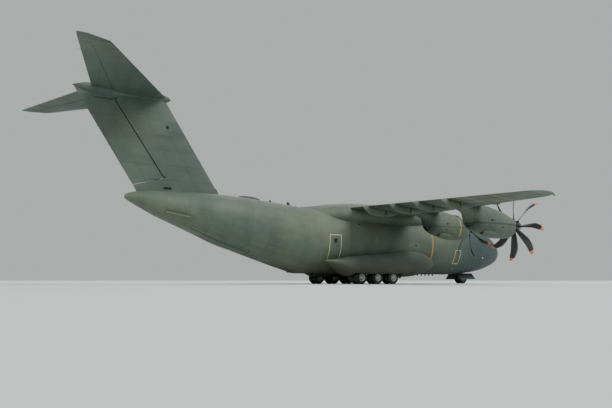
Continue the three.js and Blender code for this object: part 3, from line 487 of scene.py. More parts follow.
def effect(name, inputs, outputs, wire, kind="Float"):
    """A shader node group whose named sockets a function wires up."""
    group = bpy.data.node_groups.new(name, "ShaderNodeTree")
    for label in inputs:
        group.interface.new_socket(label, in_out="INPUT", socket_type="NodeSocket" + kind)
    for label in outputs:
        group.interface.new_socket(label, in_out="OUTPUT", socket_type="NodeSocketFloat")
    source, sink = (group.nodes.new(kind) for kind in ("NodeGroupInput", "NodeGroupOutput"))
    for label, value in wire(Web(group), source.outputs).items():
        group.links.new(value, sink.inputs[label])
    return group


def wire_panels(web, source):
    gaps, cells = [], []
    for way in ("Along", "Around"):
        place, spacing = source[way], source[way + " Spacing"]
        gaps.append(web.math("PINGPONG", place, web.times(spacing, 0.5)))
        cells.append(web.math("FLOOR", web.math("DIVIDE", place, spacing)))
    gap, width = web.math("MINIMUM", *gaps), source["Width"]
    cell = web.add("CombineXYZ", {"X": cells[0], "Y": cells[1]}).outputs[0]
    return {
        "Line": web.ramp(gap, 0.0, width, 1.0, 0.0),
        "Soil": web.ramp(gap, 0.0, web.times(width, 9.0), 1.0, 0.0),
        "Tone": web.add("TexWhiteNoise", {"Vector": cell}, noise_dimensions="3D").outputs[0],
    }


def wire_weather(web, source):
    place = source["Place"]
    run = web.add("VectorMath", {0: place, 1: source["Stretch"]}, operation="MULTIPLY").outputs[0]
    return {
        "Streaks": web.ramp(web.noise(run, 3.2, 5.0, 0.6), 0.42, 0.75),
        "Clouds": web.noise(place, 0.55, 3.0, 0.5),
        "Specks": web.ramp(web.noise(place, 26.0, 3.0, 0.7), 0.62, 0.74),
        "Grain": web.noise(place, 160.0, 2.0, 0.6),
    }


def wire_mark(web, source):
    ways = []
    for way in ("Across", "Up"):
        off = web.size(web.minus(source[way], source[way + " Middle"]))
        ways.append(web.minus(off, web.minus(source[way + " Half"], source["Corner"])))
    outside = [web.math("MAXIMUM", way, 0.0) for way in ways]
    corner = web.math("SQRT", web.plus(*[web.times(way, way) for way in outside]))
    inner = web.math("MINIMUM", web.math("MAXIMUM", *ways), 0.0)
    edge = web.minus(web.plus(corner, inner), source["Corner"])
    rim = web.size(web.plus(edge, source["Line"]))
    return {
        "Fill": web.ramp(edge, -0.004, 0.004, 1.0, 0.0),
        "Outline": web.ramp(rim, web.times(source["Line"], 0.7), source["Line"], 1.0, 0.0),
    }


SEAM_INPUTS = ("Along", "Around", "Along Spacing", "Around Spacing", "Width")
WEATHER_OUTPUTS = ("Streaks", "Clouds", "Specks", "Grain")
MARK_INPUTS = (
    "Across", "Up", "Across Middle", "Up Middle", "Across Half", "Up Half", "Corner", "Line",
)
PANELS = effect("panel seams", SEAM_INPUTS, ("Line", "Soil", "Tone"), wire_panels)
WEATHER = effect("weathering", ("Place", "Stretch"), WEATHER_OUTPUTS, wire_weather, "Vector")
MARK = effect("painted box", MARK_INPUTS, ("Fill", "Outline"), wire_mark)


def new_finish(name):
    """A new material, its web and the sockets of its shader."""
    material = bpy.data.materials.new(name)
    material.use_nodes = True
    return material, Web(material.node_tree), material.node_tree.nodes["Principled BSDF"].inputs


def colour(red, green, blue):
    """A screen colour of 0 to 255 as the shader's linear colour."""
    return tuple((v / 255) ** 2.2 for v in (red, green, blue)) + (1.0,)


OLIVE = colour(95, 104, 88)
SLATE = colour(82, 94, 86)
TEAL = colour(49, 67, 69)
BELLY = colour(78, 79, 68)
# Soot and grime, and also the painted shade of the rear door grooves
SOOT_AND_SHADE = colour(28, 28, 27)
CHIP = colour(140, 143, 132)
PANEL_TONE = colour(60, 66, 60)
STREAK = colour(52, 52, 46)
OCHRE = colour(196, 142, 48)
CREAM = colour(214, 206, 160)
YELLOW = colour(214, 186, 92)
SEAM_WIDTH = 0.0045


def marked(web, base, across, up, box, tint, side=1.0, kind="Outline", strength=0.9):
    """Paints a box mark over the base colour, where the mask of its side allows it."""
    mark = web.use(MARK, across, up, *box)[kind]
    return web.blend(web.times(mark, strength, side), base, tint)


def paint(name, panels, stretch, tint=None, marks=None, soot=None):
    """Matt military paint with seams, tone shifts, streaks, specks and worn spots."""
    material, web, sockets = new_finish(name)
    vector, x, y, z = web.place()
    seams = web.use(PANELS, *panels(web, x, y, z), SEAM_WIDTH)
    weather = web.use(WEATHER, vector, stretch)
    base = web.blend(web.ramp(weather["Clouds"], 0.35, 0.65), OLIVE, SLATE)
    if tint:
        base = tint(web, base, x, y, z)
    base = web.blend(web.ramp(seams["Tone"], 0.0, 1.0, 0.0, 0.16), base, PANEL_TONE)
    base = web.blend(web.times(weather["Streaks"], 0.22), base, STREAK)
    base = web.blend(web.times(weather["Specks"], 0.16), base, CHIP)
    if marks:
        base = marks(web, base, x, y, z)
    soiled = web.times(seams["Soil"], web.ramp(weather["Clouds"], 0.3, 0.7, 0.02, 0.12))
    base = web.blend(soiled, base, SOOT_AND_SHADE)
    base = web.blend(web.times(seams["Line"], 0.5), base, SOOT_AND_SHADE)
    if soot:
        base = web.blend(soot(web, x, y, z, weather), base, SOOT_AND_SHADE)
    worn = web.plus(0.52, web.times(weather["Clouds"], 0.22))
    relief = web.minus(web.times(weather["Grain"], 0.05), seams["Line"])
    looks = {
        "Base Color": base,
        "Roughness": web.plus(worn, web.times(weather["Streaks"], 0.06)),
        "Specular IOR Level": 0.35,
        "Normal": web.bump(relief, 0.0035, 0.55),
    }
    web.feed(sockets, looks)
    return material


# Seam layouts: the two ways over the skin and their spacings in metres
def hull_seams(web, x, y, z):
    """Frames along the hull, and stringers about a middle line that rises to the tail."""
    levels = {"Value": x, "From Min": -8.4, "From Max": -1.2, "To Min": 3.2, "To Max": 1.84}
    up = web.minus(z, web.add("MapRange", levels).outputs[0])
    return x, web.round_way(up, y, 1.41), 0.78, 0.74


def sponson_seams(web, x, y, z):
    return x, web.round_way(web.minus(z, 0.9), web.minus(web.size(y), 1.3), 0.7), 0.85, 0.55


def door_seams(web, x, y, z):
    return x, z, 0.9, 0.9


def wing_seams(web, x, y, z):
    return y, web.plus(x, web.times(web.size(y), 0.2)), 0.68, 0.5


def fin_seams(web, x, y, z):
    return z, web.plus(x, web.times(z, 0.55)), 0.55, 0.62


# Painted boxes in model metres: middle across and up, half sizes, corner radius, line width
EXIT_BOX = (7.10, 1.25, 0.19, 0.32, 0.05, 0.012)
PARA_BOX = (-0.05, 1.5, 0.3, 0.53, 0.012, 0.013)
PROP_STRIPE = (5.44, 1.7, 0.03, 0.8, 0.01, 0.01)
# Painted shade of the grooves along the rear doors: dark strips under the doors that lean inwards to the tail
DOOR_GROOVE_SHADE = (-4.875, 0.45, 1.15, 0.03, 0.01, 0.01)
DOOR_BAR_SHADE = (-3.63, 0.36, 0.024, 0.24, 0.006, 0.006)
STRIP_LEAN = 0.048
STRIP_TOP = 2.3
# Wing lines run from the leading to the trailing edge: span and half width
WING_LINES = ((7.9, 0.011), (9.05, 0.011), (8.6, 0.006))
# Engines: name, side, height and station of the shaft's front, station of the cowl's tail, and
# the angle of the first blade on either side
ENGINES = (
    ("inner", 6.6, 4.74, 11.05, 18.6, {"left": 20, "right": 36}),
    ("outer", 12.8, 4.45, 12.9, 19.6, {"left": 36, "right": 4}),
)


def hull_tint(web, base, x, y, z):
    base = web.blend(web.ramp(z, 0.55, 1.15, 0.75, 0.0), base, BELLY)
    return web.blend(web.ramp(x, 5.4, 8.9, 0.0, 0.9), base, TEAL)


def tail_tint(web, base, x, y, z):
    return web.blend(0.3, base, TEAL)


def hull_marks(web, base, x, y, z):
    base = marked(web, base, x, z, EXIT_BOX, CREAM, web.math("LESS_THAN", y, 0.0))
    base = marked(web, base, x, z, PARA_BOX, CREAM)
    base = marked(web, base, x, z, PROP_STRIPE, OCHRE, kind="Fill")
    # Painted shade: a dark strip and cross bar on each side where the rear door grooves lie
    under = web.math("LESS_THAN", z, STRIP_TOP)
    across = web.minus(web.size(y), web.times(web.minus(x, DOOR_GROOVE_SHADE[0]), STRIP_LEAN))
    for box in (DOOR_GROOVE_SHADE, DOOR_BAR_SHADE):
        base = marked(web, base, x, across, box, SOOT_AND_SHADE, under, "Fill", 0.8)
    return base


def wing_marks(web, base, x, y, z):
    span = web.size(y)
    for middle, half in WING_LINES:
        base = marked(web, base, span, z, (middle, 3.1, half, 0.4, 0.001, 0.001), YELLOW, kind="Fill")
    return base


def wing_soot(web, x, y, z, weather):
    """Dark streaks on the wing behind each exhaust."""
    streaks = []
    for _, across, _, s, _, _ in ENGINES:
        width = web.ramp(web.size(web.minus(web.size(y), across * SCALE)), 0.06, 0.34, 1.0, 0.0)
        end, start = ((LENGTH / 2 - s - behind) * SCALE for behind in (9.5, 4.6))
        streaks.append(web.times(width, web.ramp(x, end, start, 0.1, 0.95)))
    under = web.ramp(z, 3.16, 3.24, 1.0, 0.0)
    return web.times(web.math("MAXIMUM", *streaks), under, web.ramp(weather["Streaks"], 0.0, 1.0, 0.5, 0.9))


HULL_PAINT = paint("hull_matt_paint", hull_seams, (0.5, 1.0, 0.35), hull_tint, hull_marks)
CROWN_PAINT = paint("crown_matt_paint", hull_seams, (0.5, 1.0, 0.35), hull_tint)
SPONSON_PAINT = paint("sponson_matt_paint", sponson_seams, (0.4, 1.0, 0.5), hull_tint)
PLAIN_PAINT = paint("door_matt_paint", door_seams, (0.6, 1.0, 0.6), hull_tint)
TAIL_PAINT = paint("tailplane_matt_paint", wing_seams, (0.25, 1.4, 1.0), tail_tint)
WING_PAINT = paint("wing_matt_paint", wing_seams, (0.25, 1.4, 1.0), None, wing_marks, wing_soot)
FIN_PAINT = paint("fin_matt_paint", fin_seams, (0.3, 1.0, 1.2), tail_tint)


def nacelle_finish(name, middle, nose, stripe):
    """Cowl paint with soot towards the exhaust and, on the inner pair, a warning stripe."""

    def seams(web, x, y, z):
        return x, web.round_way(web.minus(z, middle), web.size(y), 0.5), 0.36, 0.62

    def marks(web, base, x, y, z):
        box = (nose - 1.0, middle, 0.028, 0.36, 0.005, 0.005)
        return marked(web, base, x, z, box, OCHRE, kind="Fill")

    def soot(web, x, y, z, weather):
        behind = web.ramp(x, nose - 2.75, nose - 1.9, 0.85, 0.0)
        return web.times(behind, web.ramp(z, middle - 0.1, middle + 0.3, 1.0, 0.0), 0.75)

    return paint(name, seams, (0.4, 1.0, 1.0), None, marks if stripe else None, soot)


COWL_PAINT = {
    name: nacelle_finish(f"{name}_cowl_paint", z * SCALE, (LENGTH / 2 - s) * SCALE, name == "inner")
    for name, _, z, s, _, _ in ENGINES
}


def plain_finish(name, base, rough, metal=0.0, wear=None, scale=8.0, bump=0.1, coat=0.0):
    """A worn plain finish: a base colour broken by blotches, scratches and fine relief."""
    material, web, sockets = new_finish(name)
    weather = web.use(WEATHER, web.place()[0], (scale, scale, scale))
    base = colour(*base)
    worn = colour(*wear) if wear else tuple(v * 0.55 for v in base[:3]) + (1.0,)
    tint = web.blend(web.times(weather["Streaks"], 0.45), base, worn)
    looks = {
        "Base Color": web.blend(web.times(weather["Specks"], 0.3), tint, worn),
        "Roughness": web.plus(web.times(weather["Streaks"], 0.14), rough),
        "Metallic": metal,
        "Coat Weight": coat,
        "Normal": web.bump(web.plus(weather["Grain"], weather["Streaks"]), 0.002, bump),
    }
    web.feed(sockets, looks)
    return material


RADOME_PAINT = plain_finish("radome_paint", (46, 60, 62), 0.5, wear=(60, 70, 68), scale=1.2)
BLADE_BLACK = plain_finish("blade_black", (24, 25, 27), 0.36, wear=(52, 52, 50))
BLADE_EDGE = plain_finish("blade_edge_metal", (120, 120, 118), 0.34, 0.9)
TIP_ORANGE = plain_finish("blade_tip_orange", (214, 108, 38), 0.5, wear=(120, 70, 40))
SPINNER_BLACK = plain_finish("spinner_black", (20, 22, 24), 0.24, coat=0.3)
TYRE_RUBBER = plain_finish("tyre_rubber", (34, 34, 34), 0.82, wear=(84, 80, 72), bump=0.4)
RIM_PAINT = plain_finish("wheel_rim_paint", (168, 170, 166), 0.42, wear=(90, 86, 78))
GEAR_PAINT = plain_finish("gear_paint", (172, 176, 172), 0.45, wear=(88, 84, 76))
BRIGHT_STEEL = plain_finish("bright_steel", (190, 192, 194), 0.18, 1.0)
HOT_METAL = plain_finish("exhaust_metal", (84, 78, 70), 0.45, 0.9, wear=(44, 38, 33))
# Painted shade: a near-black finish for the cups, discs and bumps that stand for holes, vents and mouths
OPENING_SHADE = plain_finish("painted_opening_shade", (14, 15, 16), 0.8)
CABIN_TRIM = plain_finish("cabin_trim", (92, 95, 92), 0.7)
FLOOR_METAL = plain_finish("cargo_floor_metal", (128, 130, 126), 0.5, 0.6)
ENGINE_METAL = plain_finish("engine_block_metal", (120, 120, 118), 0.4, 0.8)
FITTING_DARK = plain_finish("fitting_dark", (38, 42, 42), 0.6)
FITTING_PALE = plain_finish("fitting_pale", (176, 172, 150), 0.55)
LAMP_LENS = plain_finish("lamp_lens", (226, 226, 214), 0.12, coat=0.6)
RED_LENS = plain_finish("red_lens", (170, 24, 20), 0.15, coat=0.6)
FRAME_PAINT = plain_finish("window_frame_paint", (58, 66, 66), 0.5)
GREEN_LENS = plain_finish("green_lens", (20, 130, 60), 0.15, coat=0.6)


def glass_finish():
    material, web, sockets = new_finish("tinted_glass")
    weather = web.use(WEATHER, web.place()[0], (2, 2, 2))
    looks = {
        "Base Color": web.blend(weather["Clouds"], colour(30, 42, 46), colour(46, 60, 64)),
        "Roughness": web.ramp(weather["Streaks"], 0.0, 1.0, 0.04, 0.12),
        "Transmission Weight": 0.55,
        "IOR": 1.5,
    }
    web.feed(sockets, looks)
    return material


COCKPIT_GLASS = glass_finish()


# CAD skins, copied with merged corners, rounded edges and smooth faces
def skinned(node, material, slot, angle=32, edge=0.0, round_hull=False):
    source = NODES[node]
    skin = bpy.data.objects.new(node + "_skin", source.data.copy())
    bpy.context.collection.objects.link(skin)
    edit(skin)
    bpy.ops.mesh.customdata_custom_splitnormals_clear()
    bpy.ops.mesh.remove_doubles(threshold=2e-6)
    if not round_hull:
        bpy.ops.mesh.dissolve_limited(angle_limit=math.radians(0.4))
    done(skin)
    if round_hull:
        rounded_hull(skin)
    if edge:
        bevelled(skin, edge, 50)
    bpy.ops.object.shade_smooth_by_angle(angle=math.radians(angle))
    piece(node + "_skin", skin, material, slot, source["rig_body"], node)


# Hull nodes and their slots
HULL_SKINS = {
    "radome": "radome_paint", "forward_fuselage": "hull_paint", "centre_fuselage": "hull_paint",
    "rear_fuselage": "hull_paint", "tail_cone": "composite_paint", "crew_door": "hull_paint",
    "paratroop_door_left": "hull_paint", "paratroop_door_right": "hull_paint",
    "cargo_ramp": "composite_paint", "upper_cargo_door": "hull_paint",
}
# Other nodes: name, with braces where there are two sides, finish, slot, smoothing angle, edge
OTHER_SKINS = (
    ("nose_door_{}", PLAIN_PAINT, "hull_paint", 30, 0.004),
    ("wing_{}", WING_PAINT, "composite_paint", 40, 0),
    ("aileron_{}", WING_PAINT, "composite_paint", 40, 0),
    ("inner_flap_{}", WING_PAINT, "composite_paint", 40, 0),
    ("outer_flap_{}", WING_PAINT, "composite_paint", 40, 0),
    ("tailplane", TAIL_PAINT, "composite_paint", 40, 0),
    ("elevator_{}", TAIL_PAINT, "composite_paint", 40, 0),
    ("fin", FIN_PAINT, "composite_paint", 40, 0),
    ("rudder", FIN_PAINT, "composite_paint", 40, 0),
    ("main_legs_{}", GEAR_PAINT, "gear_paint", 35, 0.004),
    ("nose_leg", GEAR_PAINT, "gear_paint", 35, 0.003),
    ("nose_fork", GEAR_PAINT, "gear_paint", 35, 0.003),
    ("flight_deck", CABIN_TRIM, "cabin", 30, 0.006),
    ("cargo_floor", FLOOR_METAL, "floor", 30, 0.004),
)
for node, slot in HULL_SKINS.items():
    skinned(node, RADOME_PAINT if node == "radome" else HULL_PAINT, slot, round_hull=True)
for label, material, slot, angle, edge in OTHER_SKINS:
    for node in dict.fromkeys(label.format(side) for side, _ in SIDES):
        skinned(node, material, slot, angle, edge)
for side, _ in SIDES:
    for name, *_ in ENGINES:
        block = NODES[f"engine_{side}_{name}"]
        block.data.materials.clear()
        block.data.materials.append(ENGINE_METAL)

# Cockpit: a rounded shell with cut-out windows, panes set into it and a frame round each
COCKPIT = {"front": 0.95, "wall": 1.15, "rear": 3.95, "room": 0.0008}
# Thin layers that panes and frames are cut from: their stations, those of the hollow inside, and
# the insets of the outer and inner face of each
LAYER_STATIONS, HOLLOW_STATIONS = (1.1, 3.94), (1.05, 4.0)
PANE_INSETS, FRAME_INSETS = (0.014, 0.045), (-0.007, 0.02)
# The windows of one side, looked at from a pivot on the centre line: first and last azimuth from
# straight ahead in degrees, then the heights of the lower and upper edges at both
WINDOW_PIVOT = 3.4
WINDOWS = (
    (1.3, 35.0, 4.6, 4.58, 5.36, 5.27),
    (38.0, 65.0, 4.56, 4.46, 5.25, 5.12),
    (68.0, 97.0, 4.44, 4.46, 5.09, 4.96),
)
PANE_GAP = 0.004
FRAME_WIDTH = 0.034
CORNER = 0.05


def window_block(window, sign, grow):
    """A wedge that runs outwards from the pivot through one window, with rounded corners."""
    first, last, low_first, low_last, high_first, high_last = window
    spread = math.degrees(grow / 2.1)
    bpy.ops.mesh.primitive_cube_add(size=2)
    block = bpy.context.object
    for vertex in block.data.vertices:
        aft, out, up = (value > 0 for value in vertex.co)
        azimuth = math.radians(last + spread if aft else first - spread)
        radius = 4.2 if out else 0.6
        low, high = (low_last, high_last) if aft else (low_first, high_first)
        y = sign * radius * math.sin(azimuth)
        vertex.co = at(WINDOW_PIVOT - radius * math.cos(azimuth), y, high + grow if up else low - grow)
    edit(block)
    bpy.ops.mesh.normals_make_consistent(inside=False)
    pivot = at(WINDOW_PIVOT, 0, 4.9)

    def runs_out(edge):
        ends = [(vertex.co - pivot).length for vertex in edge.verts]
        return abs(ends[0] - ends[1]) > SCALE

    pick(block, runs_out, "EDGE")
    bpy.ops.mesh.bevel(offset=(CORNER + grow) * SCALE, segments=5, profile=0.5)
    return done(block)


def layer(outer, inner):
    return cut(hull_loft(*LAYER_STATIONS, outer), hull_loft(*HOLLOW_STATIONS, inner))


def cockpit():
    shell = hull_loft(COCKPIT["front"] + COCKPIT["room"], COCKPIT["rear"] - COCKPIT["room"])
    cut(shell, hull_loft(COCKPIT["wall"], COCKPIT["rear"] + 0.05, WALL))
    glass, band = layer(*PANE_INSETS), layer(*FRAME_INSETS)
    panes, rims = [], []
    for window in WINDOWS:
        for sign in (1, -1):
            cut(shell, window_block(window, sign, 0))
            panes.append(cut(copy_of(glass), window_block(window, sign, -PANE_GAP), "INTERSECT"))
            rim = cut(copy_of(band), window_block(window, sign, FRAME_WIDTH), "INTERSECT")
            rims.append(cut(rim, window_block(window, sign, -0.002)))
    for spare in (glass, band):
        bpy.data.objects.remove(spare)
    panes, rims = joined("panes", panes), joined("rims", rims)
    for made in (shell, panes, rims):
        tidy_mesh(made, 1e-6, 32)
    piece("cockpit_shell_skin", shell, HULL_PAINT, node="cockpit_shell")
    piece("windscreen_panes", panes, COCKPIT_GLASS, "glass", node="windscreen")
    piece("window_frames", rims, FRAME_PAINT)


def on_hull(azimuth, height, out=0.0):
    """The model point of the hull at an azimuth seen from the window pivot, and a height."""
    angle = math.radians(azimuth)
    low, high = 0.3, 4.0
    for _ in range(40):
        radius = (low + high) / 2
        s, y = WINDOW_PIVOT - radius * math.cos(angle), radius * math.sin(angle)
        half, top, bottom, wide = numbers(HULL.at(s))
        reach = (top - wide) if height > wide else (wide - bottom)
        inside = s > 0 and (y / max(half, 1e-6)) ** 2 + ((height - wide) / max(reach, 1e-6)) ** 2 < 1
        low, high = (radius, high) if inside else (low, radius)
    radius += out
    return at(WINDOW_PIVOT - radius * math.cos(angle), radius * math.sin(angle), height)


def wipers():
    parts = []
    for sign in (1, -1):
        foot = on_hull(sign * 14, 4.5, 0.02)
        parts.append(stack([(0, 0.022), (0.012, 0.02), (0.02, 0.012)], 14, aim=(0.7, 0, 0.7), place=foot))
        parts.append(rod(foot, on_hull(sign * 10, 4.82, 0.05), 0.008, 0.005))
        parts.append(rod(on_hull(sign * 4, 4.68, 0.03), on_hull(sign * 17, 5.0, 0.03), 0.006, 0.005, 8))
    piece("windscreen_wipers", parts, FITTING_DARK)


cockpit()
wipers()

# Engine cowls: distance behind the propeller, half width, then the top, widest point and bottom
# as heights over the shaft, in full-size metres
COWL = (
    (0.42, 0.54, 0.54, 0, -0.8), (0.75, 0.72, 0.7, 0, -0.92), (1.4, 0.9, 0.94, 0, -1.0),
    (2.4, 0.98, 1.2, 0, -1.02), (3.6, 0.92, 1.42, 0, -0.82), (4.7, 0.78, 1.46, 0.1, -0.42),
    (5.2, 0.6, 1.46, 0.95, 0.5),
)
COWL_TIP = (0.14, 1.46, 1.28, 1.1)
COWL_SIDES = 48
# Share of the full outline at the stations of the cowl's front lip
COWL_LIP = {0.42: 0.93, 0.425: 0.965, 0.45: 0.99, 0.5: 1.0}
# Intake hollow: distance behind the propeller, half width, half height
INTAKE = ((0.36, 0.41, 0.14), (0.47, 0.38, 0.11), (0.9, 0.3, 0.1))
INTAKE_DROP = 0.66
# Exhaust pipe: distance behind the propeller and radius, outside and then back inside
EXHAUST = (
    (3.9, 0.3528), (4.53, 0.36), (4.55, 0.38), (4.58, 0.38), (4.6, 0.36), (4.85, 0.36),
    (4.87, 0.38), (4.95, 0.375), (4.95, 0.33), (4.25, 0.3), (4.27, 0.16), (4.65, 0.03),
)
EXHAUST_RISE = 0.03
# Cooler housing low on the outboard side of each cowl, open at its rear end: distance aft of its
# front, half width, half height, rise of its middle
COOLER = {"behind": 2.35, "side": 0.42, "drop": 0.74, "lean": 28}
COOLER_ROWS = (
    (0, 0.03, 0.02, 0), (0.06, 0.12, 0.08, 0), (0.25, 0.22, 0.17, 0), (0.6, 0.31, 0.25, 0),
    (1.0, 0.34, 0.27, 0.01), (1.4, 0.3, 0.23, 0.05), (1.75, 0.22, 0.15, 0.1),
)
COOLER_RINGS = (0, 0.03, 0.06, 0.12, 0.2, 0.3, 0.45, 0.6, 0.8, 1.0, 1.2, 1.4, 1.6, 1.75)
COOLER_MOUTH = ((1.75, 0.195, 0.125, 0.1), (1.4, 0.18, 0.11, 0.08), (1.38, 0.06, 0.03, 0.08))
# Vent slots and drain holes on the outboard side: distance behind, rise, half length, half height
COWL_SLOTS = ((3.55, 0.3, 0.17, 0.05), (3.75, -0.35, 0.05, 0.05), (2.45, -0.34, 0.06, 0.06))
AFT = Matrix(((0, 0, -1), (-1, 0, 0), (0, 1, 0))).to_4x4()


def cowl(y, z, s, tail):
    """One cowl with a rounded front lip, its upper and lower halves of different height."""
    curves = Curves([*COWL, (tail - s, *COWL_TIP)])
    stations = [*COWL_LIP, *(0.6 + 0.15 * k for k in range(int((tail - s - 0.6) / 0.15))), tail - s]

    def spot(behind, angle):
        half, top, wide, bottom = numbers(curves.at(behind))
        share = COWL_LIP.get(round(behind, 3), 1.0)
        reach = top - wide if math.sin(angle) > 0 else wide - bottom
        up = wide + reach * share * math.sin(angle)
        return at(s + behind, y + half * share * math.cos(angle), z + up)

    body = loft(stations, spot, COWL_SIDES, 38)
    mouth = stack(INTAKE, 32)
    mouth.data.transform(to_model(s, y, z - INTAKE_DROP) @ AFT)
    return tidy_mesh(cut(body, mouth), 1e-6, 38)


def exhaust(y, z, s):
    pipe = stack(EXHAUST, 36, aim=(-1, 0, 0))
    pipe.data.transform(to_model(s, y, z + EXHAUST_RISE))
    return pipe


def cooler(y, z, s, sign):
    curves = Curves(COOLER_ROWS)
    rows = [(along, *numbers(curves.at(along))) for along in COOLER_RINGS]
    shell = stack([(along, half, rise, 0, up) for along, half, rise, up in [*rows, *COOLER_MOUTH]], 32)
    lean = Matrix.Rotation(math.radians(COOLER["lean"]) * sign, 4, "X")
    start = to_model(s + COOLER["behind"], y + sign * COOLER["side"], z - COOLER["drop"])
    shell.data.transform(start @ lean @ AFT)
    return shell


# The vent slots and drain holes are low near-black bumps: painted shade of the openings
def cowl_openings(node, y, z, s, sign):
    parts = []
    for behind, up, length, rise in COWL_SLOTS:
        slot = stack([(-0.01, length, rise), (0.008, length, rise), (0.012, length * 0.9, rise * 0.8)], 20)
        slot.data.transform(Matrix.Scale(SCALE, 4))
        parts.append(stood(slot, (s + behind, sign * (y + 1.4), z + up), node))
    return parts


# Propellers: radius, chord, pitch in degrees, sweep, thickness over chord, full-size metres
BLADE = (
    (0.35, 0.28, 66, 0, 0.4), (0.9, 0.44, 55, 0.05, 0.16), (1.65, 0.54, 44, 0.09, 0.1),
    (2.35, 0.42, 36, -0.08, 0.07), (2.665, 0.14, 33, -0.28, 0.06),
)
BLADE_RINGS = [0.35 + 0.1 * k for k in range(23)] + [2.6, 2.64, 2.665]
BLADES = 8
TIP_FROM = 2.43
GUARD_FROM = 1.0
# Spinner: distance ahead of the blades and radius. Cuff: radius from the shaft and its half sizes
SPINNER = (
    (-0.38, 0.46), (-0.37, 0.49), (-0.35, 0.5), (-0.17, 0.5), (-0.165, 0.493), (-0.155, 0.493),
    (-0.15, 0.5), (0.02, 0.49), (0.15, 0.47), (0.36, 0.4), (0.55, 0.31), (0.75, 0.195),
    (0.88, 0.11), (0.96, 0.05), (1.0, 0.004),
)
CUFF = ((0.3, 0.17, 0.13), (0.46, 0.165, 0.12), (0.52, 0.155, 0.105), (0.535, 0.14, 0.09), (0.54, 0.08, 0.04))


def one_blade(hand):
    curves = Curves(BLADE)
    rows = []
    for radius in BLADE_RINGS:
        chord, pitch, sweep, thick = numbers(curves.at(radius))
        rows.append((radius, chord / 2, chord * thick / 2, 0, sweep, math.radians(90 - pitch)))
    blade = stack(rows, 16, angle=60)
    if hand < 0:
        blade.data.transform(Matrix.Scale(-1, 4, (0, 1, 0)))
        blade.data.flip_normals()
    for material in (BLADE_BLACK, TIP_ORANGE, BLADE_EDGE):
        blade.data.materials.append(material)
    for face in blade.data.polygons:
        radius = face.center.z
        chord, pitch, sweep, _ = numbers(curves.at(radius))
        turn = math.radians(pitch)
        ahead = face.center.x * math.sin(turn) + (hand * face.center.y - sweep) * math.cos(turn)
        if radius > TIP_FROM:
            face.material_index = 1
        elif radius > GUARD_FROM and ahead > chord * 0.4:
            face.material_index = 2
    blade.data.transform(Matrix.Scale(SCALE, 4))
    return blade


def propellers():
    blades = {hand: one_blade(hand) for hand in (1, -1)}
    cone = stack(SPINNER, 48, aim=(1, 0, 0), angle=30)
    cuff = stack(CUFF, 20)
    ring = joined("cuff_ring", [copy_of(cuff, turned(k / BLADES)) for k in range(BLADES)])
    for side, sign in SIDES:
        for name, y, z, s, _, phase in ENGINES:
            hand = sign if name == "inner" else -sign
            body = f"propeller_{side}_{name}"
            centre, rest = Matrix.Translation(at(s, sign * y, z)), math.radians(phase[side])
            fan = [copy_of(blades[hand], centre @ turned(k / BLADES, start=rest)) for k in range(BLADES)]
            piece(body + "_blades", fan, None, "blade", body, body)
            whole = [copy_of(cone, centre @ Matrix.Scale(SCALE, 4))]
            whole.append(copy_of(ring, centre @ turned(0, start=rest) @ Matrix.Scale(SCALE, 4)))
            piece(body + "_spinner", whole, SPINNER_BLACK, "blade", body)
    for spare in (*blades.values(), cone, cuff, ring):
        bpy.data.objects.remove(spare)


def nacelles():
    for side, sign in SIDES:
        for name, y, z, s, tail, _ in ENGINES:
            label, node, out = f"{side}_{name}", f"nacelle_{side}_{name}", sign * y
            piece(f"cowl_{label}", cowl(out, z, s, tail), COWL_PAINT[name], "composite_paint", node=node)
            piece(f"exhaust_{label}", exhaust(out, z, s), HOT_METAL, "engine")
            piece(f"cooler_{label}", cooler(out, z, s, sign), COWL_PAINT[name], "composite_paint")
            slots = cowl_openings(node, y, z, s, sign)
            piece(f"cowl_openings_{label}", slots, OPENING_SHADE, "composite_paint")


propellers()
nacelles()

# Wheels: a grooved tyre and a dished rim with a ring of holes and nuts, then twinned
# The radius is taken across the flats of the 16-sided solids, so that the tyres touch the floor
FLAT = math.cos(math.pi / 16)
MAIN_WHEEL = {"radius": 0.55 * FLAT, "twin": 0.36}
NOSE_WHEEL = {"radius": 0.495 * FLAT, "twin": 0.27}
WHEEL_STATIONS = (17.2, 18.9, 20.6)
MAIN_Y = 3.1
NOSE_S = 5.2
GROOVES = (-0.17, -0.06, 0.06, 0.17)
# Offset from a groove's middle as a share of the width, then the share of the wheel's radius
GROOVE_ROWS = ((-0.024, 0.998), (-0.018, 0.972), (0.018, 0.972), (0.024, 0.998))
# Side offset as a share of the width, then the share of the wheel's radius
TYRE_SHOULDER = ((0.3, 0.985), (0.42, 0.94), (0.49, 0.84), (0.5, 0.74), (0.44, 0.6), (0.4, 0.56), (0.1, 0.54))
RIM_FACE = (
    (0.05, 0.55), (0.4, 0.565), (0.43, 0.56), (0.44, 0.54), (0.42, 0.52), (0.3, 0.5),
    (0.22, 0.46), (0.18, 0.4), (0.2, 0.28), (0.3, 0.25), (0.44, 0.22), (0.5, 0.19),
    (0.53, 0.13), (0.55, 0.1), (0.555, 0.02),
)
RIM_HOLES = 10
# Holes and nuts: distance out and share of the radius. Then their offset across and up
# The holes are shallow near-black cups on the rim face, not cut through it: painted shade of the holes
HOLE, HOLE_PLACE = ((0, 0.055), (0.012, 0.05), (0.004, 0.02)), (0.185, 0.36)
NUT, NUT_PLACE = ((0, 0.024), (0.016, 0.024), (0.02, 0.014)), (0.2, 0.33)


def turned_rows(rows, radius, width, sides, sign=1, angle=35):
    """A ring body about the axle from rows of shares of the width and the radius."""
    rows = [(along * width, share * radius) for along, share in rows]
    return stack(rows, sides, aim=(0, sign, 0), angle=angle)


def tyre(radius, width):
    rows = [(-along, share) for along, share in reversed(TYRE_SHOULDER)]
    rows += [(groove + off, share) for groove in GROOVES for off, share in GROOVE_ROWS]
    return turned_rows(rows + list(TYRE_SHOULDER), radius, width, 48, angle=40)


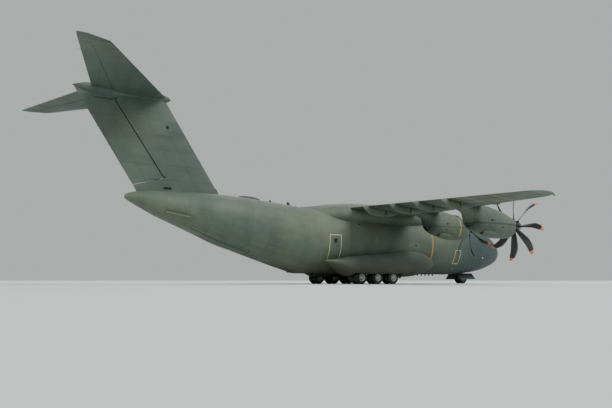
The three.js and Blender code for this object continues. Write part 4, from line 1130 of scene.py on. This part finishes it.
def rim(radius, width, sign):
    """The face and nuts of one side of a wheel, and its holes."""
    parts, holes = [turned_rows(RIM_FACE, radius, width, 48, sign, 30)], []
    for k in range(RIM_HOLES):
        kinds = ((HOLE, HOLE_PLACE, 14, k, holes), (NUT, NUT_PLACE, 6, k + 0.5, parts))
        for rows, (across, up), sides, step, heap in kinds:
            made = turned_rows(rows, radius, 1, sides, sign)
            shift = Matrix.Translation((0, sign * across * width, up * radius))
            made.data.transform(turned(step / RIM_HOLES, "Y") @ shift)
            heap.append(made)
    return parts, holes


def twin_wheels(kind):
    radius, twin = kind["radius"], kind["twin"]
    width = twin * 1.1
    tyres, faces, holes = [], [], []
    for place in (1, -1):
        heaps = ([tyre(radius, width)], *rim(radius, width, 1), *rim(radius, width, -1))
        for heap, made in zip((tyres, faces, holes, faces, holes), heaps):
            for part in made:
                part.data.transform(Matrix.Translation((0, place * twin, 0)))
            heap += made
    faces.append(stack([(-twin, 0.07), (twin, 0.07)], 20, aim=(0, 1, 0)))
    return joined("tyres", tyres), joined("rims", faces), joined("holes", holes)


def place_wheels(kind, body, place):
    kinds = (("tyres", TYRE_RUBBER), ("rims", RIM_PAINT), ("rim_holes", OPENING_SHADE))
    for source, (label, material) in zip(kind, kinds):
        made = copy_of(source, to_model(*place))
        piece(f"{body}_{label}", made, material, "tyre", body, body if label == "tyres" else None)


def wheels():
    main = twin_wheels(MAIN_WHEEL)
    for side, sign in SIDES:
        for number, s in enumerate(WHEEL_STATIONS, 1):
            place_wheels(main, f"main_wheels_{side}_{number}", (s, sign * MAIN_Y, MAIN_WHEEL["radius"]))
    nose = twin_wheels(NOSE_WHEEL)
    place_wheels(nose, "nose_wheels", (NOSE_S, 0, NOSE_WHEEL["radius"]))
    for spare in (*main, *nose):
        bpy.data.objects.remove(spare)


wheels()

# Sponsons: station, centre across, half width, centre height, half height
SPONSON = (
    (11.9, 2.9, 0.05, 1.85, 0.05), (12.6, 2.85, 0.6, 1.84, 0.6), (13.6, 2.7, 1.1, 1.82, 0.98),
    (15.0, 2.6, 1.42, 1.75, 1.13), (16.6, 2.6, 1.5, 1.66, 1.06), (19.0, 2.6, 1.5, 1.54, 0.95),
    (21.4, 2.6, 1.46, 1.47, 0.8), (22.3, 2.6, 1.25, 1.66, 0.42), (23.0, 2.6, 0.9, 1.82, 0.2),
    (23.6, 2.6, 0.05, 1.92, 0.05),
)
SPONSON_FULLNESS = 0.85
SPONSON_END_STEPS = (0, 0.02, 0.06, 0.13, 0.24, 0.4, 0.6, 0.85, 1.15, 1.5)
WELL = {"front": 16.2, "rear": 21.4, "inner": 2.46, "outer": 3.74, "top": 1.78, "foot": -1}
# Wing fairing: station, half width, top
FAIRING = (
    (9.6, 0.5, 6.5), (10.8, 1.7, 6.74), (12.6, 2.5, 7.02), (14.2, 2.75, 7.15), (19.0, 2.75, 7.12),
    (21.4, 2.45, 6.92), (23.0, 1.7, 6.68), (24.3, 0.5, 6.48),
)
FAIRING_FOOT = 4.7
# Hull core that is cut out of both: first and last station, and its inset
HULL_CORE = (8.0, 30.0, 0.03)


def sponson(hull_core):
    start, end = SPONSON[0][0], SPONSON[-1][0]
    curves = Curves(SPONSON, ends_eased(start, end))

    def spot(s, angle):
        y, half, z, rise = numbers(curves.at(s))
        cos, sin = math.cos(angle), math.sin(angle)
        across = math.copysign(abs(cos) ** SPONSON_FULLNESS, cos)
        up = math.copysign(abs(sin) ** SPONSON_FULLNESS, sin)
        return at(s, y + half * across, z + rise * up)

    near = [start + step for step in SPONSON_END_STEPS]
    far = [end - step for step in reversed(SPONSON_END_STEPS)]
    between = [near[-1] + 0.4 * k for k in range(1, 22)]
    body = cut(loft(near + between + far, spot, 48), hull_core, keep=True)
    size = (WELL["rear"] - WELL["front"], WELL["outer"] - WELL["inner"], WELL["top"] - WELL["foot"])
    well = slab(tuple(v * SCALE for v in size))
    middle = (WELL["front"] + WELL["rear"]) / 2, (WELL["inner"] + WELL["outer"]) / 2
    well.data.transform(Matrix.Translation(at(*middle, WELL["foot"])))
    return tidy_mesh(cut(body, well), 1e-6, 34)


def fairing(hull_core):
    start, end = FAIRING[0][0], FAIRING[-1][0]
    curves = Curves(FAIRING, ends_eased(start - 0.05, end + 0.05))

    def spot(s, angle):
        half, top = numbers(curves.at(s))
        middle, rise = (top + FAIRING_FOOT) / 2, (top - FAIRING_FOOT) / 2
        return at(s, half * math.cos(angle), middle + rise * math.sin(angle))

    stations = [start, start + 0.1, start + 0.25]
    stations += [start + 0.5 + 0.35 * k for k in range(39)]
    stations += [end - 0.5, end - 0.25, end - 0.1, end]
    return tidy_mesh(cut(loft(stations, spot, 56), hull_core, keep=True), 1e-6, 38)


hull_core = hull_loft(*HULL_CORE)
left_sponson = sponson(hull_core)
right_sponson = copy_of(left_sponson, Matrix.Scale(-1, 4, (0, 1, 0)))
for side, made in (("left", left_sponson), ("right", right_sponson)):
    piece(f"sponson_{side}_skin", made, SPONSON_PAINT, "composite_paint", node=f"sponson_{side}")
piece("wing_fairing_skin", fairing(hull_core), CROWN_PAINT, "composite_paint", node="wing_fairing")
bpy.data.objects.remove(hull_core)

# Wings and fin at two places: span, leading edge, chord, middle height, thickness over chord
WING_ROWS = ((2.8, 13.65, 7.05, 6.42, 0.14), (20.6, 19.3, 2.68, 5.52, 0.12))
TAILPLANE_ROWS = ((0, 36.4, 5.5, 14, 0.11), (9, 43, 1.95, 14, 0.1))
FIN_ROWS = ((6.2, 31.4, 6.67, 0, 0.12), (13.9, 36.53, 6.63, 0, 0.11))
FOIL_STEPS = (0, 0.025, 0.09, 0.2, 0.36, 0.56, 0.78, 1)
TRAILING_EDGE = 0.006


def row_at(rows, span):
    """Leading edge, chord, middle and thickness of a wing or fin at a place along its span."""
    first, last = rows
    t = (span - first[0]) / (last[0] - first[0])
    return [mix(a, b, t) for a, b in zip(first[1:], last[1:])]


def foil_half(share, thickness):
    shape = 0.2969 * math.sqrt(share) - 0.126 * share - 0.3516 * share**2 + 0.2843 * share**3
    return 5 * thickness * (shape - 0.1015 * share**4) + TRAILING_EDGE / 2 * share


def foil_at(rows, s, span):
    """Middle and half thickness of a wing or fin skin at a station and a place along its span."""
    lead, chord, middle, thickness = row_at(rows, span)
    halves = [foil_half(step, thickness) * chord for step in FOIL_STEPS]
    return middle, float(np.interp((s - lead) / chord, FOIL_STEPS, halves))


# Lips that carry the fixed skin over the round nose of each moving surface. Each hinge: the skin
# it is cut from, its inner and outer end as station and span, the radius of the moving nose at
# both, and where its lips end, as a share of that radius ahead of the hinge
HINGES = {
    "aileron": (WING_ROWS, (17.4, 15.2), (20.41, 19.9), 0.13, 0.085, 0.52),
    "elevator": (TAILPLANE_ROWS, (40.62, 0.72), (44.02, 8.5), 0.17, 0.07, 0.36),
    "rudder": (FIN_ROWS, (36.55, 7.85), (40.34, 13.2), 0.22, 0.2, 0.36),
}
AILERON_SHARE = 0.26
RUN = 0.016
LIP = {"grip": 0.07, "proud": 0.0015, "thick": 0.007}
# Sill on the fin that fills part of the slot under the rudder
SILL = {"way": (0.9615, -0.2747), "from": 0.32, "to": 2.25, "low": -0.08, "high": -0.036}


def on_hinge_line(rows, span):
    lead, chord, _, _ = row_at(rows, span)
    return lead + chord * (1 - AILERON_SHARE), span


def lips(kind, sign=1):
    rows, inner, outer, inner_radius, outer_radius, ahead = HINGES[kind]
    if kind == "aileron":
        inner, outer = (on_hinge_line(rows, span) for _, span in (inner, outer))
    along = (Vector(outer) - Vector(inner)).normalized()
    aft = Vector((along.y, -along.x))
    parts = []
    for face in (1, -1):
        corners = []
        for t in (0.004, 0.996):
            radius = mix(inner_radius, outer_radius, t)
            for behind in (-radius - RUN - LIP["grip"], -radius * ahead):
                s, span = Vector(inner).lerp(Vector(outer), t) + aft * behind
                middle, half = foil_at(rows, s, span)
                for level in (half + LIP["proud"], half - LIP["thick"]):
                    if kind == "rudder":
                        corners.append(at(s, face * level, span))
                    else:
                        corners.append(at(s, sign * span, middle + face * level))
        parts.append(plank([corners[n] for n in (0, 1, 3, 2, 4, 5, 7, 6)]))
    return parts


def rudder_sill():
    _, (hinge_s, hinge_z), *_ = HINGES["rudder"]
    aft, down = SILL["way"]
    corners = []
    for along in (SILL["from"], SILL["to"]):
        s, z = hinge_s + aft * along, hinge_z + down * along
        half = foil_at(FIN_ROWS, s, z)[1]
        for level, side in (("low", -1), ("low", 1), ("high", 1), ("high", -1)):
            corners.append(at(s - down * SILL[level], side * half, z + aft * SILL[level]))
    return plank(corners)


for kind, material in (("aileron", WING_PAINT), ("elevator", TAIL_PAINT)):
    for side, sign in SIDES:
        piece(f"{kind}_lips_{side}", lips(kind, sign), material, "composite_paint")
piece("rudder_lips", [*lips("rudder"), rudder_sill()], FIN_PAINT, "composite_paint")


# Fittings that stand on the skins. Each is made at the origin, foot down and front to +X.
def aerial(chord, height):
    return slab((chord, 0.022, height), taper=(0.55, 0.5), sweep=-chord * 0.3, bevel=0.006)


def port(radius, depth=0.004):
    shares = ((-0.02, 1), (0.004, 1), (0.007, 0.93), (0.007, 0.8), (depth, 0.74))
    return stack([(up, radius * share) for up, share in shares], 24)


def lens(radius, height):
    shares = ((0.3, 0.96), (0.7, 0.75), (1, 0.3))
    return stack([(-0.01, radius), *((height * up, radius * share) for up, share in shares)], 20, angle=60)


def dome(length, width, height):
    shares = ((0, 1.0), (0.25, 0.97), (0.5, 0.87), (0.75, 0.67), (0.92, 0.4), (1.0, 0.1))
    rows = [(-0.02, length, width)] + [(share * height, length * r, width * r) for share, r in shares]
    return stack(rows, 32, angle=60)


def probe():
    mast = slab((0.07, 0.014, 0.075), taper=(0.6, 0.7), sweep=0.02, bevel=0.003)
    return joined("probe", [mast, rod((-0.03, 0, 0.075), (0.13, 0, 0.075), 0.009, 0.006)])


# Air scoop: distance from its rear end, half width and half height, its mouth to the front
SCOOP = (
    (0, 0.018, 0.014), (0.072, 0.063, 0.049), (0.168, 0.09, 0.07), (0.24, 0.0855, 0.0665),
    (0.24, 0.072, 0.0546), (0.144, 0.054, 0.0385),
)


def scoop():
    body = stack(SCOOP, 24)
    body.data.transform(Matrix(((0, 0, 1), (1, 0, 0), (0, 1, 0))).to_4x4())
    return body


# Places on the hull begin with the station, side and height to seat from
# Aerials: then chord and height
AERIALS = (
    *((8.4 + 0.5 * k, 0.65, 0.8, 0.11, 0.1) for k in range(8)),
    (6.6, 0.0, 7.4, 0.221, 0.17), (8.2, 0.35, 7.4, 0.13, 0.1), (8.9, 0.0, 7.4, 0.182, 0.14),
    (25.4, 0.0, 7.4, 0.195, 0.15), (27.2, 0.0, 7.4, 0.13, 0.1),
    (12.9, 0.3, 0.8, 0.24, 0.2), (23.4, -0.3, 0.8, 0.2, 0.16),
)
# Domes: then half length, half width and height
DOMES = (
    (7.5, 0.3, 7.4, 0.07, 0.07, 0.03), (7.5, -0.3, 7.4, 0.07, 0.07, 0.03),
    (29.2, 0, 7.6, 0.52, 0.2, 0.11),
)
# Ports: then radius
DARK_PORTS = (
    (19.13, -0.37, 0.88, 0.045), (16.49, -0.42, 0.88, 0.045), (14.05, -0.47, 0.88, 0.045),
    (11.47, -0.33, 0.88, 0.04), (7.7, -0.09, 0.9, 0.05), (13.77, -2.8, 3.43, 0.04),
    (19.89, -2.43, 5.06, 0.04), (13.77, 2.8, 3.43, 0.04), (19.89, 2.43, 5.06, 0.04),
)
EXIT_LAMP = (8.23, -1.73, 1.42)
PALE_PORTS = (
    (12.59, -0.41, 0.88, 0.04), (17.91, -0.5, 0.88, 0.035), (18.25, -0.5, 0.88, 0.03), (*EXIT_LAMP, 0.035),
)
PATCH = (10.18, -2.61, 4.66)
# These stand on both sides of the hull
NOSE_LAMP = (4.6, 2.37, 2.49)
SPONSON_PORT = (15.3, 3.74, 1.0)
SCOOP_PLACE = (11.71, 2.15, 1.8)
PROBES = ((2.2, 1.93, 3.36), (2.6, 2.05, 2.95), (3.1, 2.2, 3.9))
# Beacons: then radius and height
BEACONS = ((24.75, 0, 7.4, 0.045, 0.07), (14.9, 0.5, 0.8, 0.045, 0.06))


def stood_rows(make, rows):
    """Fittings on the hull, made from rows of a place and then the sizes."""
    return [stood(make(*row[3:]), row[:3]) for row in rows]


def to_side(place, sign):
    s, y, z = place
    return s, sign * y, z


def hull_fittings():
    piece("hull_aerials", stood_rows(aerial, AERIALS), FITTING_DARK)
    piece("crown_domes", stood_rows(dome, DOMES), RADOME_PAINT)
    # The dark ports are near-black discs: painted shade of the openings
    piece("dark_ports", stood_rows(port, DARK_PORTS), OPENING_SHADE)
    pale = stood_rows(port, PALE_PORTS)
    patch = slab((0.2, 0.13, 0.012), taper=(0.96, 0.94), bevel=0.004)
    piece("pale_ports", [*pale, stood(patch, PATCH, sink=0.006)], FITTING_PALE)
    rings = [stood(port(0.065, 0.002), EXIT_LAMP, sink=0.002)]
    for side, sign in SIDES:
        rings.append(stood(port(0.06), to_side(SPONSON_PORT, sign), f"sponson_{side}"))
        rings.append(stood(port(0.055), to_side(NOSE_LAMP, sign)))
        rings.append(stood(scoop(), to_side(SCOOP_PLACE, sign)))
    piece("port_rings", rings, FITTING_DARK)
    lamps = [stood(lens(0.04, 0.02), to_side(NOSE_LAMP, sign)) for sign in (1, -1)]
    piece("hull_lamps", lamps, LAMP_LENS, "glass")
    piece("beacons", stood_rows(lens, BEACONS), RED_LENS, "glass")
    probes = [stood(probe(), to_side(place, sign)) for sign in (1, -1) for place in PROBES]
    piece("air_probes", probes, FITTING_DARK)


# Static wicks along the trailing edges: the surface, its rows and the places along its span
WICKS = (
    ("aileron", WING_ROWS, (16.2, 17.3, 18.4, 19.5)),
    ("elevator", TAILPLANE_ROWS, (3.4, 5.2, 6.8, 8.1)),
)
RUDDER_WICKS = (8.6, 9.9, 11.2, 12.5)


def wick(s, y, z):
    start = at(s, y, z) + Vector((0.02, 0, 0))
    return rod(start, start + Vector((-0.15, 0, 0)), 0.0045, 0.0015, 6)


def wicks():
    for side, sign in SIDES:
        for kind, rows, spans in WICKS:
            ends = [(span, *row_at(rows, span)) for span in spans]
            parts = [wick(lead + chord, sign * span, middle) for span, lead, chord, middle, _ in ends]
            piece(f"{kind}_wicks_{side}", parts, FITTING_DARK, body=f"{kind}_{side}")
    ends = [(z, *row_at(FIN_ROWS, z)) for z in RUDDER_WICKS]
    parts = [wick(lead + chord, 0, z) for z, lead, chord, _, _ in ends]
    piece("rudder_wicks", parts, FITTING_DARK, body="rudder")


# These places have a like one on the other side
TIP_LIGHT = (19.75, 21.1, 5.5)
WING_BULGE = (19.3, 16.1, 5.3)
WING_STRIP = (15.6, 3.6, 6.9)
STRAKE = (35.6, 1.5, 5.1)
FIN_PORT = (36.35, 0.5, 11.7)
FIN_VENT = (36.2, 0.3, 7.1)
FIN_MOUTH = (31.9, 0.0, 7.35)
TAIL_LIGHT = (39.3, 0, 6.32)
MOUTH_ROWS = ((-0.03, 0.05, 0.11), (0.004, 0.05, 0.11), (0.008, 0.045, 0.1), (-0.004, 0.03, 0.08))


def wing_fittings():
    for (side, sign), material in zip(SIDES, (RED_LENS, GREEN_LENS)):
        node = f"wing_{side}"
        lamp = stood(lens(0.035, 0.1), to_side(TIP_LIGHT, sign), node, sink=0.01)
        piece(f"tip_light_{side}", lamp, material, "glass")
        bulge = stood(dome(0.42, 0.05, 0.07), to_side(WING_BULGE, sign), node, sink=0.01)
        strip = slab((0.3, 0.03, 0.014), taper=(0.9, 0.7), bevel=0.004)
        strip = stood(strip, to_side(WING_STRIP, sign), node, sink=0.004)
        piece(f"wing_bulges_{side}", [bulge, strip], WING_PAINT, "composite_paint")
    piece("tail_light", stood(lens(0.022, 0.045), TAIL_LIGHT), LAMP_LENS, "glass")


def tail_fittings():
    strakes, spots = [], []
    for sign in (1, -1):
        plate = slab((1.15, 0.024, 0.17), taper=(0.72, 0.5), sweep=-0.1, bevel=0.006)
        strakes.append(stood(plate, to_side(STRAKE, sign), sink=0.03))
        spots.append(stood(port(0.06), to_side(FIN_PORT, sign), "fin"))
        vent = slab((0.3, 0.09, 0.008), taper=(0.94, 0.85), bevel=0.002)
        spots.append(stood(vent, to_side(FIN_VENT, sign), "fin", sink=0.003))
    spots.append(stood(stack(MOUTH_ROWS, 24), FIN_MOUTH, "fin", ahead=(0, 1, 0)))
    piece("tail_strakes", strakes, TAIL_PAINT, "composite_paint")
    # The fin's intake mouth, ports and vents are near-black: painted shade of the openings
    piece("fin_openings", spots, OPENING_SHADE, "composite_paint")


PARA_WINDOW, PARA_HANDLE = (22.65, 2.9, 3.55), (22.4, 2.9, 3.1)
CREW_WINDOW, CREW_HANDLE = (5.9, 2.8, 2.95), (5.65, 2.8, 2.5)
TREADS = 5
TREAD_HEIGHTS = (1.75, 2.95)


def door_fittings():
    for side, sign in SIDES:
        node, window = f"paratroop_door_{side}", to_side(PARA_WINDOW, sign)
        grip = stood(slab((0.09, 0.03, 0.012), bevel=0.004), to_side(PARA_HANDLE, sign), node)
        piece(f"paratroop_door_rim_{side}", [stood(port(0.1), window, node, sink=0.003), grip], FITTING_DARK)
        pane = stood(lens(0.074, 0.012), window, node)
        piece(f"paratroop_door_pane_{side}", pane, COCKPIT_GLASS, "glass")
    door, s = "crew_door", CREW_WINDOW[0]
    grip = stood(slab((0.1, 0.035, 0.012), bevel=0.004), CREW_HANDLE, door)
    piece("crew_door_rim", [stood(port(0.08), CREW_WINDOW, door, sink=0.003), grip], FITTING_DARK, body=door)
    piece("crew_door_pane", stood(lens(0.058, 0.012), CREW_WINDOW, door), COCKPIT_GLASS, "glass", door)
    treads = []
    for k in range(TREADS):
        height = mix(*TREAD_HEIGHTS, k / (TREADS - 1))
        inward = float(hull_outline(HULL.at(s), lower_angle(s, height), WALL + 0.08)[0])
        tread = slab((0.34, 0.014, 0.07), taper=(0.96, 0.8), bevel=0.004)
        treads.append(stood(tread, (s, inward, height), door, sink=0.01))
    piece("crew_door_treads", treads, FLOOR_METAL, "floor", door)


def lower_angle(s, height):
    """The outline angle of the hull's left side at a height below its widest point."""
    _, _, bottom, wide = HULL.at(s)
    share = min(max((wide - height) / (wide - bottom), 0), 1)
    return -math.asin(share ** (1 / HULL_FULLNESS))


# Lamps on the nose leg: distance ahead and radius of the shell and of the glass
LAMP_SHELL = ((-0.07, 0.02), (-0.05, 0.045), (0, 0.06), (0.035, 0.062), (0.038, 0.054), (0.03, 0.05))
LAMP_GLASS = ((0.02, 0.052), (0.034, 0.05), (0.042, 0.03))
LAMP_HEIGHT = 1.5


def gear_fittings():
    shells, glasses = [], []
    for sign in (1, -1):
        spot = at(NOSE_S - 0.17, sign * 0.15, LAMP_HEIGHT)
        shells.append(stack(LAMP_SHELL, 24, aim=(1, 0, 0), place=spot))
        glasses.append(stack(LAMP_GLASS, 24, aim=(1, 0, 0), place=spot))
        shells.append(rod(spot + Vector((-0.03, 0, 0)), at(NOSE_S, 0, LAMP_HEIGHT), 0.012))
    piece("nose_leg_lamps", shells, FITTING_DARK, "gear_paint")
    piece("nose_leg_lenses", glasses, LAMP_LENS, "glass")
    for side, sign in SIDES:
        parts, y = [], sign * MAIN_Y
        for s in WHEEL_STATIONS:
            top, low = at(s - 0.62, y + 0.1, 1.45), at(s - 0.3, y + 0.1, 0.74)
            parts.append(rod(top, low, 0.012))
            parts.append(stack([(0, 0.03), (0.24, 0.03)], 16, aim=(top - low).normalized(), place=low))
            parts.append(rod(at(s - 0.14, y - 0.1, 1.3), at(s - 0.44, y - 0.1, 0.95), 0.008))
        piece(f"gear_struts_{side}", parts, BRIGHT_STEEL, "gear_paint")


# Inside the hold: frames round the wall and roller tracks on the floor
FLOOR_TOP = 1.95
FRAME_STATIONS = (7.4, 8.5, 9.6, 10.7, 12.4, 13.5, 14.6, 15.7, 16.8, 17.9, 19.0, 20.1, 21.4, 23.7, 24.7)
FRAME_DEPTH = 0.1
TRACKS = (-1.25, -0.45, 0.45, 1.25)
ROLLER_STATIONS = [7.6 + 0.45 * k for k in range(39)]


def hoop(s):
    """A square-section frame round the inside of the hull."""
    rows = ((-0.03, 0), (-0.03, FRAME_DEPTH), (0.03, FRAME_DEPTH), (0.03, 0))
    body = stack([(k, 1) for k in range(len(rows))], 56)
    edit(body)
    pick(body, lambda face: len(face.verts) > 4)
    bpy.ops.mesh.delete(type="ONLY_FACE")
    pick(body, lambda edge: edge.is_boundary, "EDGE")
    bpy.ops.mesh.bridge_edge_loops()
    done(body)
    for vertex in body.data.vertices:
        x, y, number = vertex.co
        shift, deep = rows[round(number)]
        outline = hull_outline(HULL.at(s), math.atan2(y, x), WALL - 0.005 + deep)
        vertex.co = at(s + shift, *numbers(outline))
    return tidy_mesh(body, 1e-6, 30)


def hold_fittings():
    piece("hold_frames", [hoop(s) for s in FRAME_STATIONS], CABIN_TRIM, "cabin")
    parts, axle = [], FLOOR_TOP + 0.035
    for y in TRACKS:
        for side in (-0.09, 0.09):
            rail = slab((9.0, 0.018, 0.03), taper=(1, 0.8), bevel=0.003)
            rail.data.transform(Matrix.Translation(at(16.2, y + side, FLOOR_TOP)))
            parts.append(rail)
        parts += [rod(at(s, y - 0.08, axle), at(s, y + 0.08, axle), 0.014, sides=8) for s in ROLLER_STATIONS]
    piece("floor_tracks", parts, BRIGHT_STEEL, "floor")


hull_fittings()
wing_fittings()
wicks()
tail_fittings()
door_fittings()
gear_fittings()
hold_fittings()

# Floor, light and camera
bpy.ops.mesh.primitive_plane_add(size=900, location=(0, 0, 0))
ground = bpy.context.object
ground.name = "studio_floor"
floor_finish, floor_web, floor_sockets = new_finish("pale_floor")
floor_web.feed(floor_sockets, {"Base Color": (0.62, 0.64, 0.63, 1), "Roughness": 0.85})
ground.data.materials.append(floor_finish)

world = bpy.data.worlds.new("studio_air")
bpy.context.scene.world = world
world.use_nodes = True
backdrop = world.node_tree.nodes["Background"]
backdrop.inputs["Color"].default_value = (0.60, 0.64, 0.63, 1)
backdrop.inputs["Strength"].default_value = 0.85
# Lamps: name, where the light comes from, strength, spread in degrees
SUNS = (
    ("key_light", (0.35, -0.75, 1.0), 2.6, 35),
    ("fill_light", (-1.0, -0.5, 0.6), 1.0, 60),
    ("rim_light", (0.8, 0.9, 0.7), 0.8, 45),
)


def placed(name, data):
    holder = bpy.data.objects.new(name, data)
    bpy.context.collection.objects.link(holder)
    return holder


def facing(way):
    return Vector(way).to_track_quat("-Z", "Y").to_euler()


for name, come_from, power, spread in SUNS:
    lamp = bpy.data.lights.new(name, "SUN")
    lamp.angle = math.radians(spread)
    lamp.energy = power
    placed(name, lamp).rotation_euler = facing(-Vector(come_from))

VIEW_AZIMUTH = math.radians(327)
EYE_HEIGHT = 0.15
EYE_DISTANCE = 26.0
AIM = Vector((-0.6, 0.0, 3.4))
back = Vector((math.sin(VIEW_AZIMUTH), -math.cos(VIEW_AZIMUTH), 0))
eye = bpy.data.cameras.new("camera")
eye.lens = 36
eye.clip_end = 2000
camera = placed("camera", eye)
camera.location = Vector((AIM.x, AIM.y, EYE_HEIGHT)) + back * EYE_DISTANCE
camera.rotation_euler = facing(AIM - camera.location)
bpy.context.scene.camera = camera
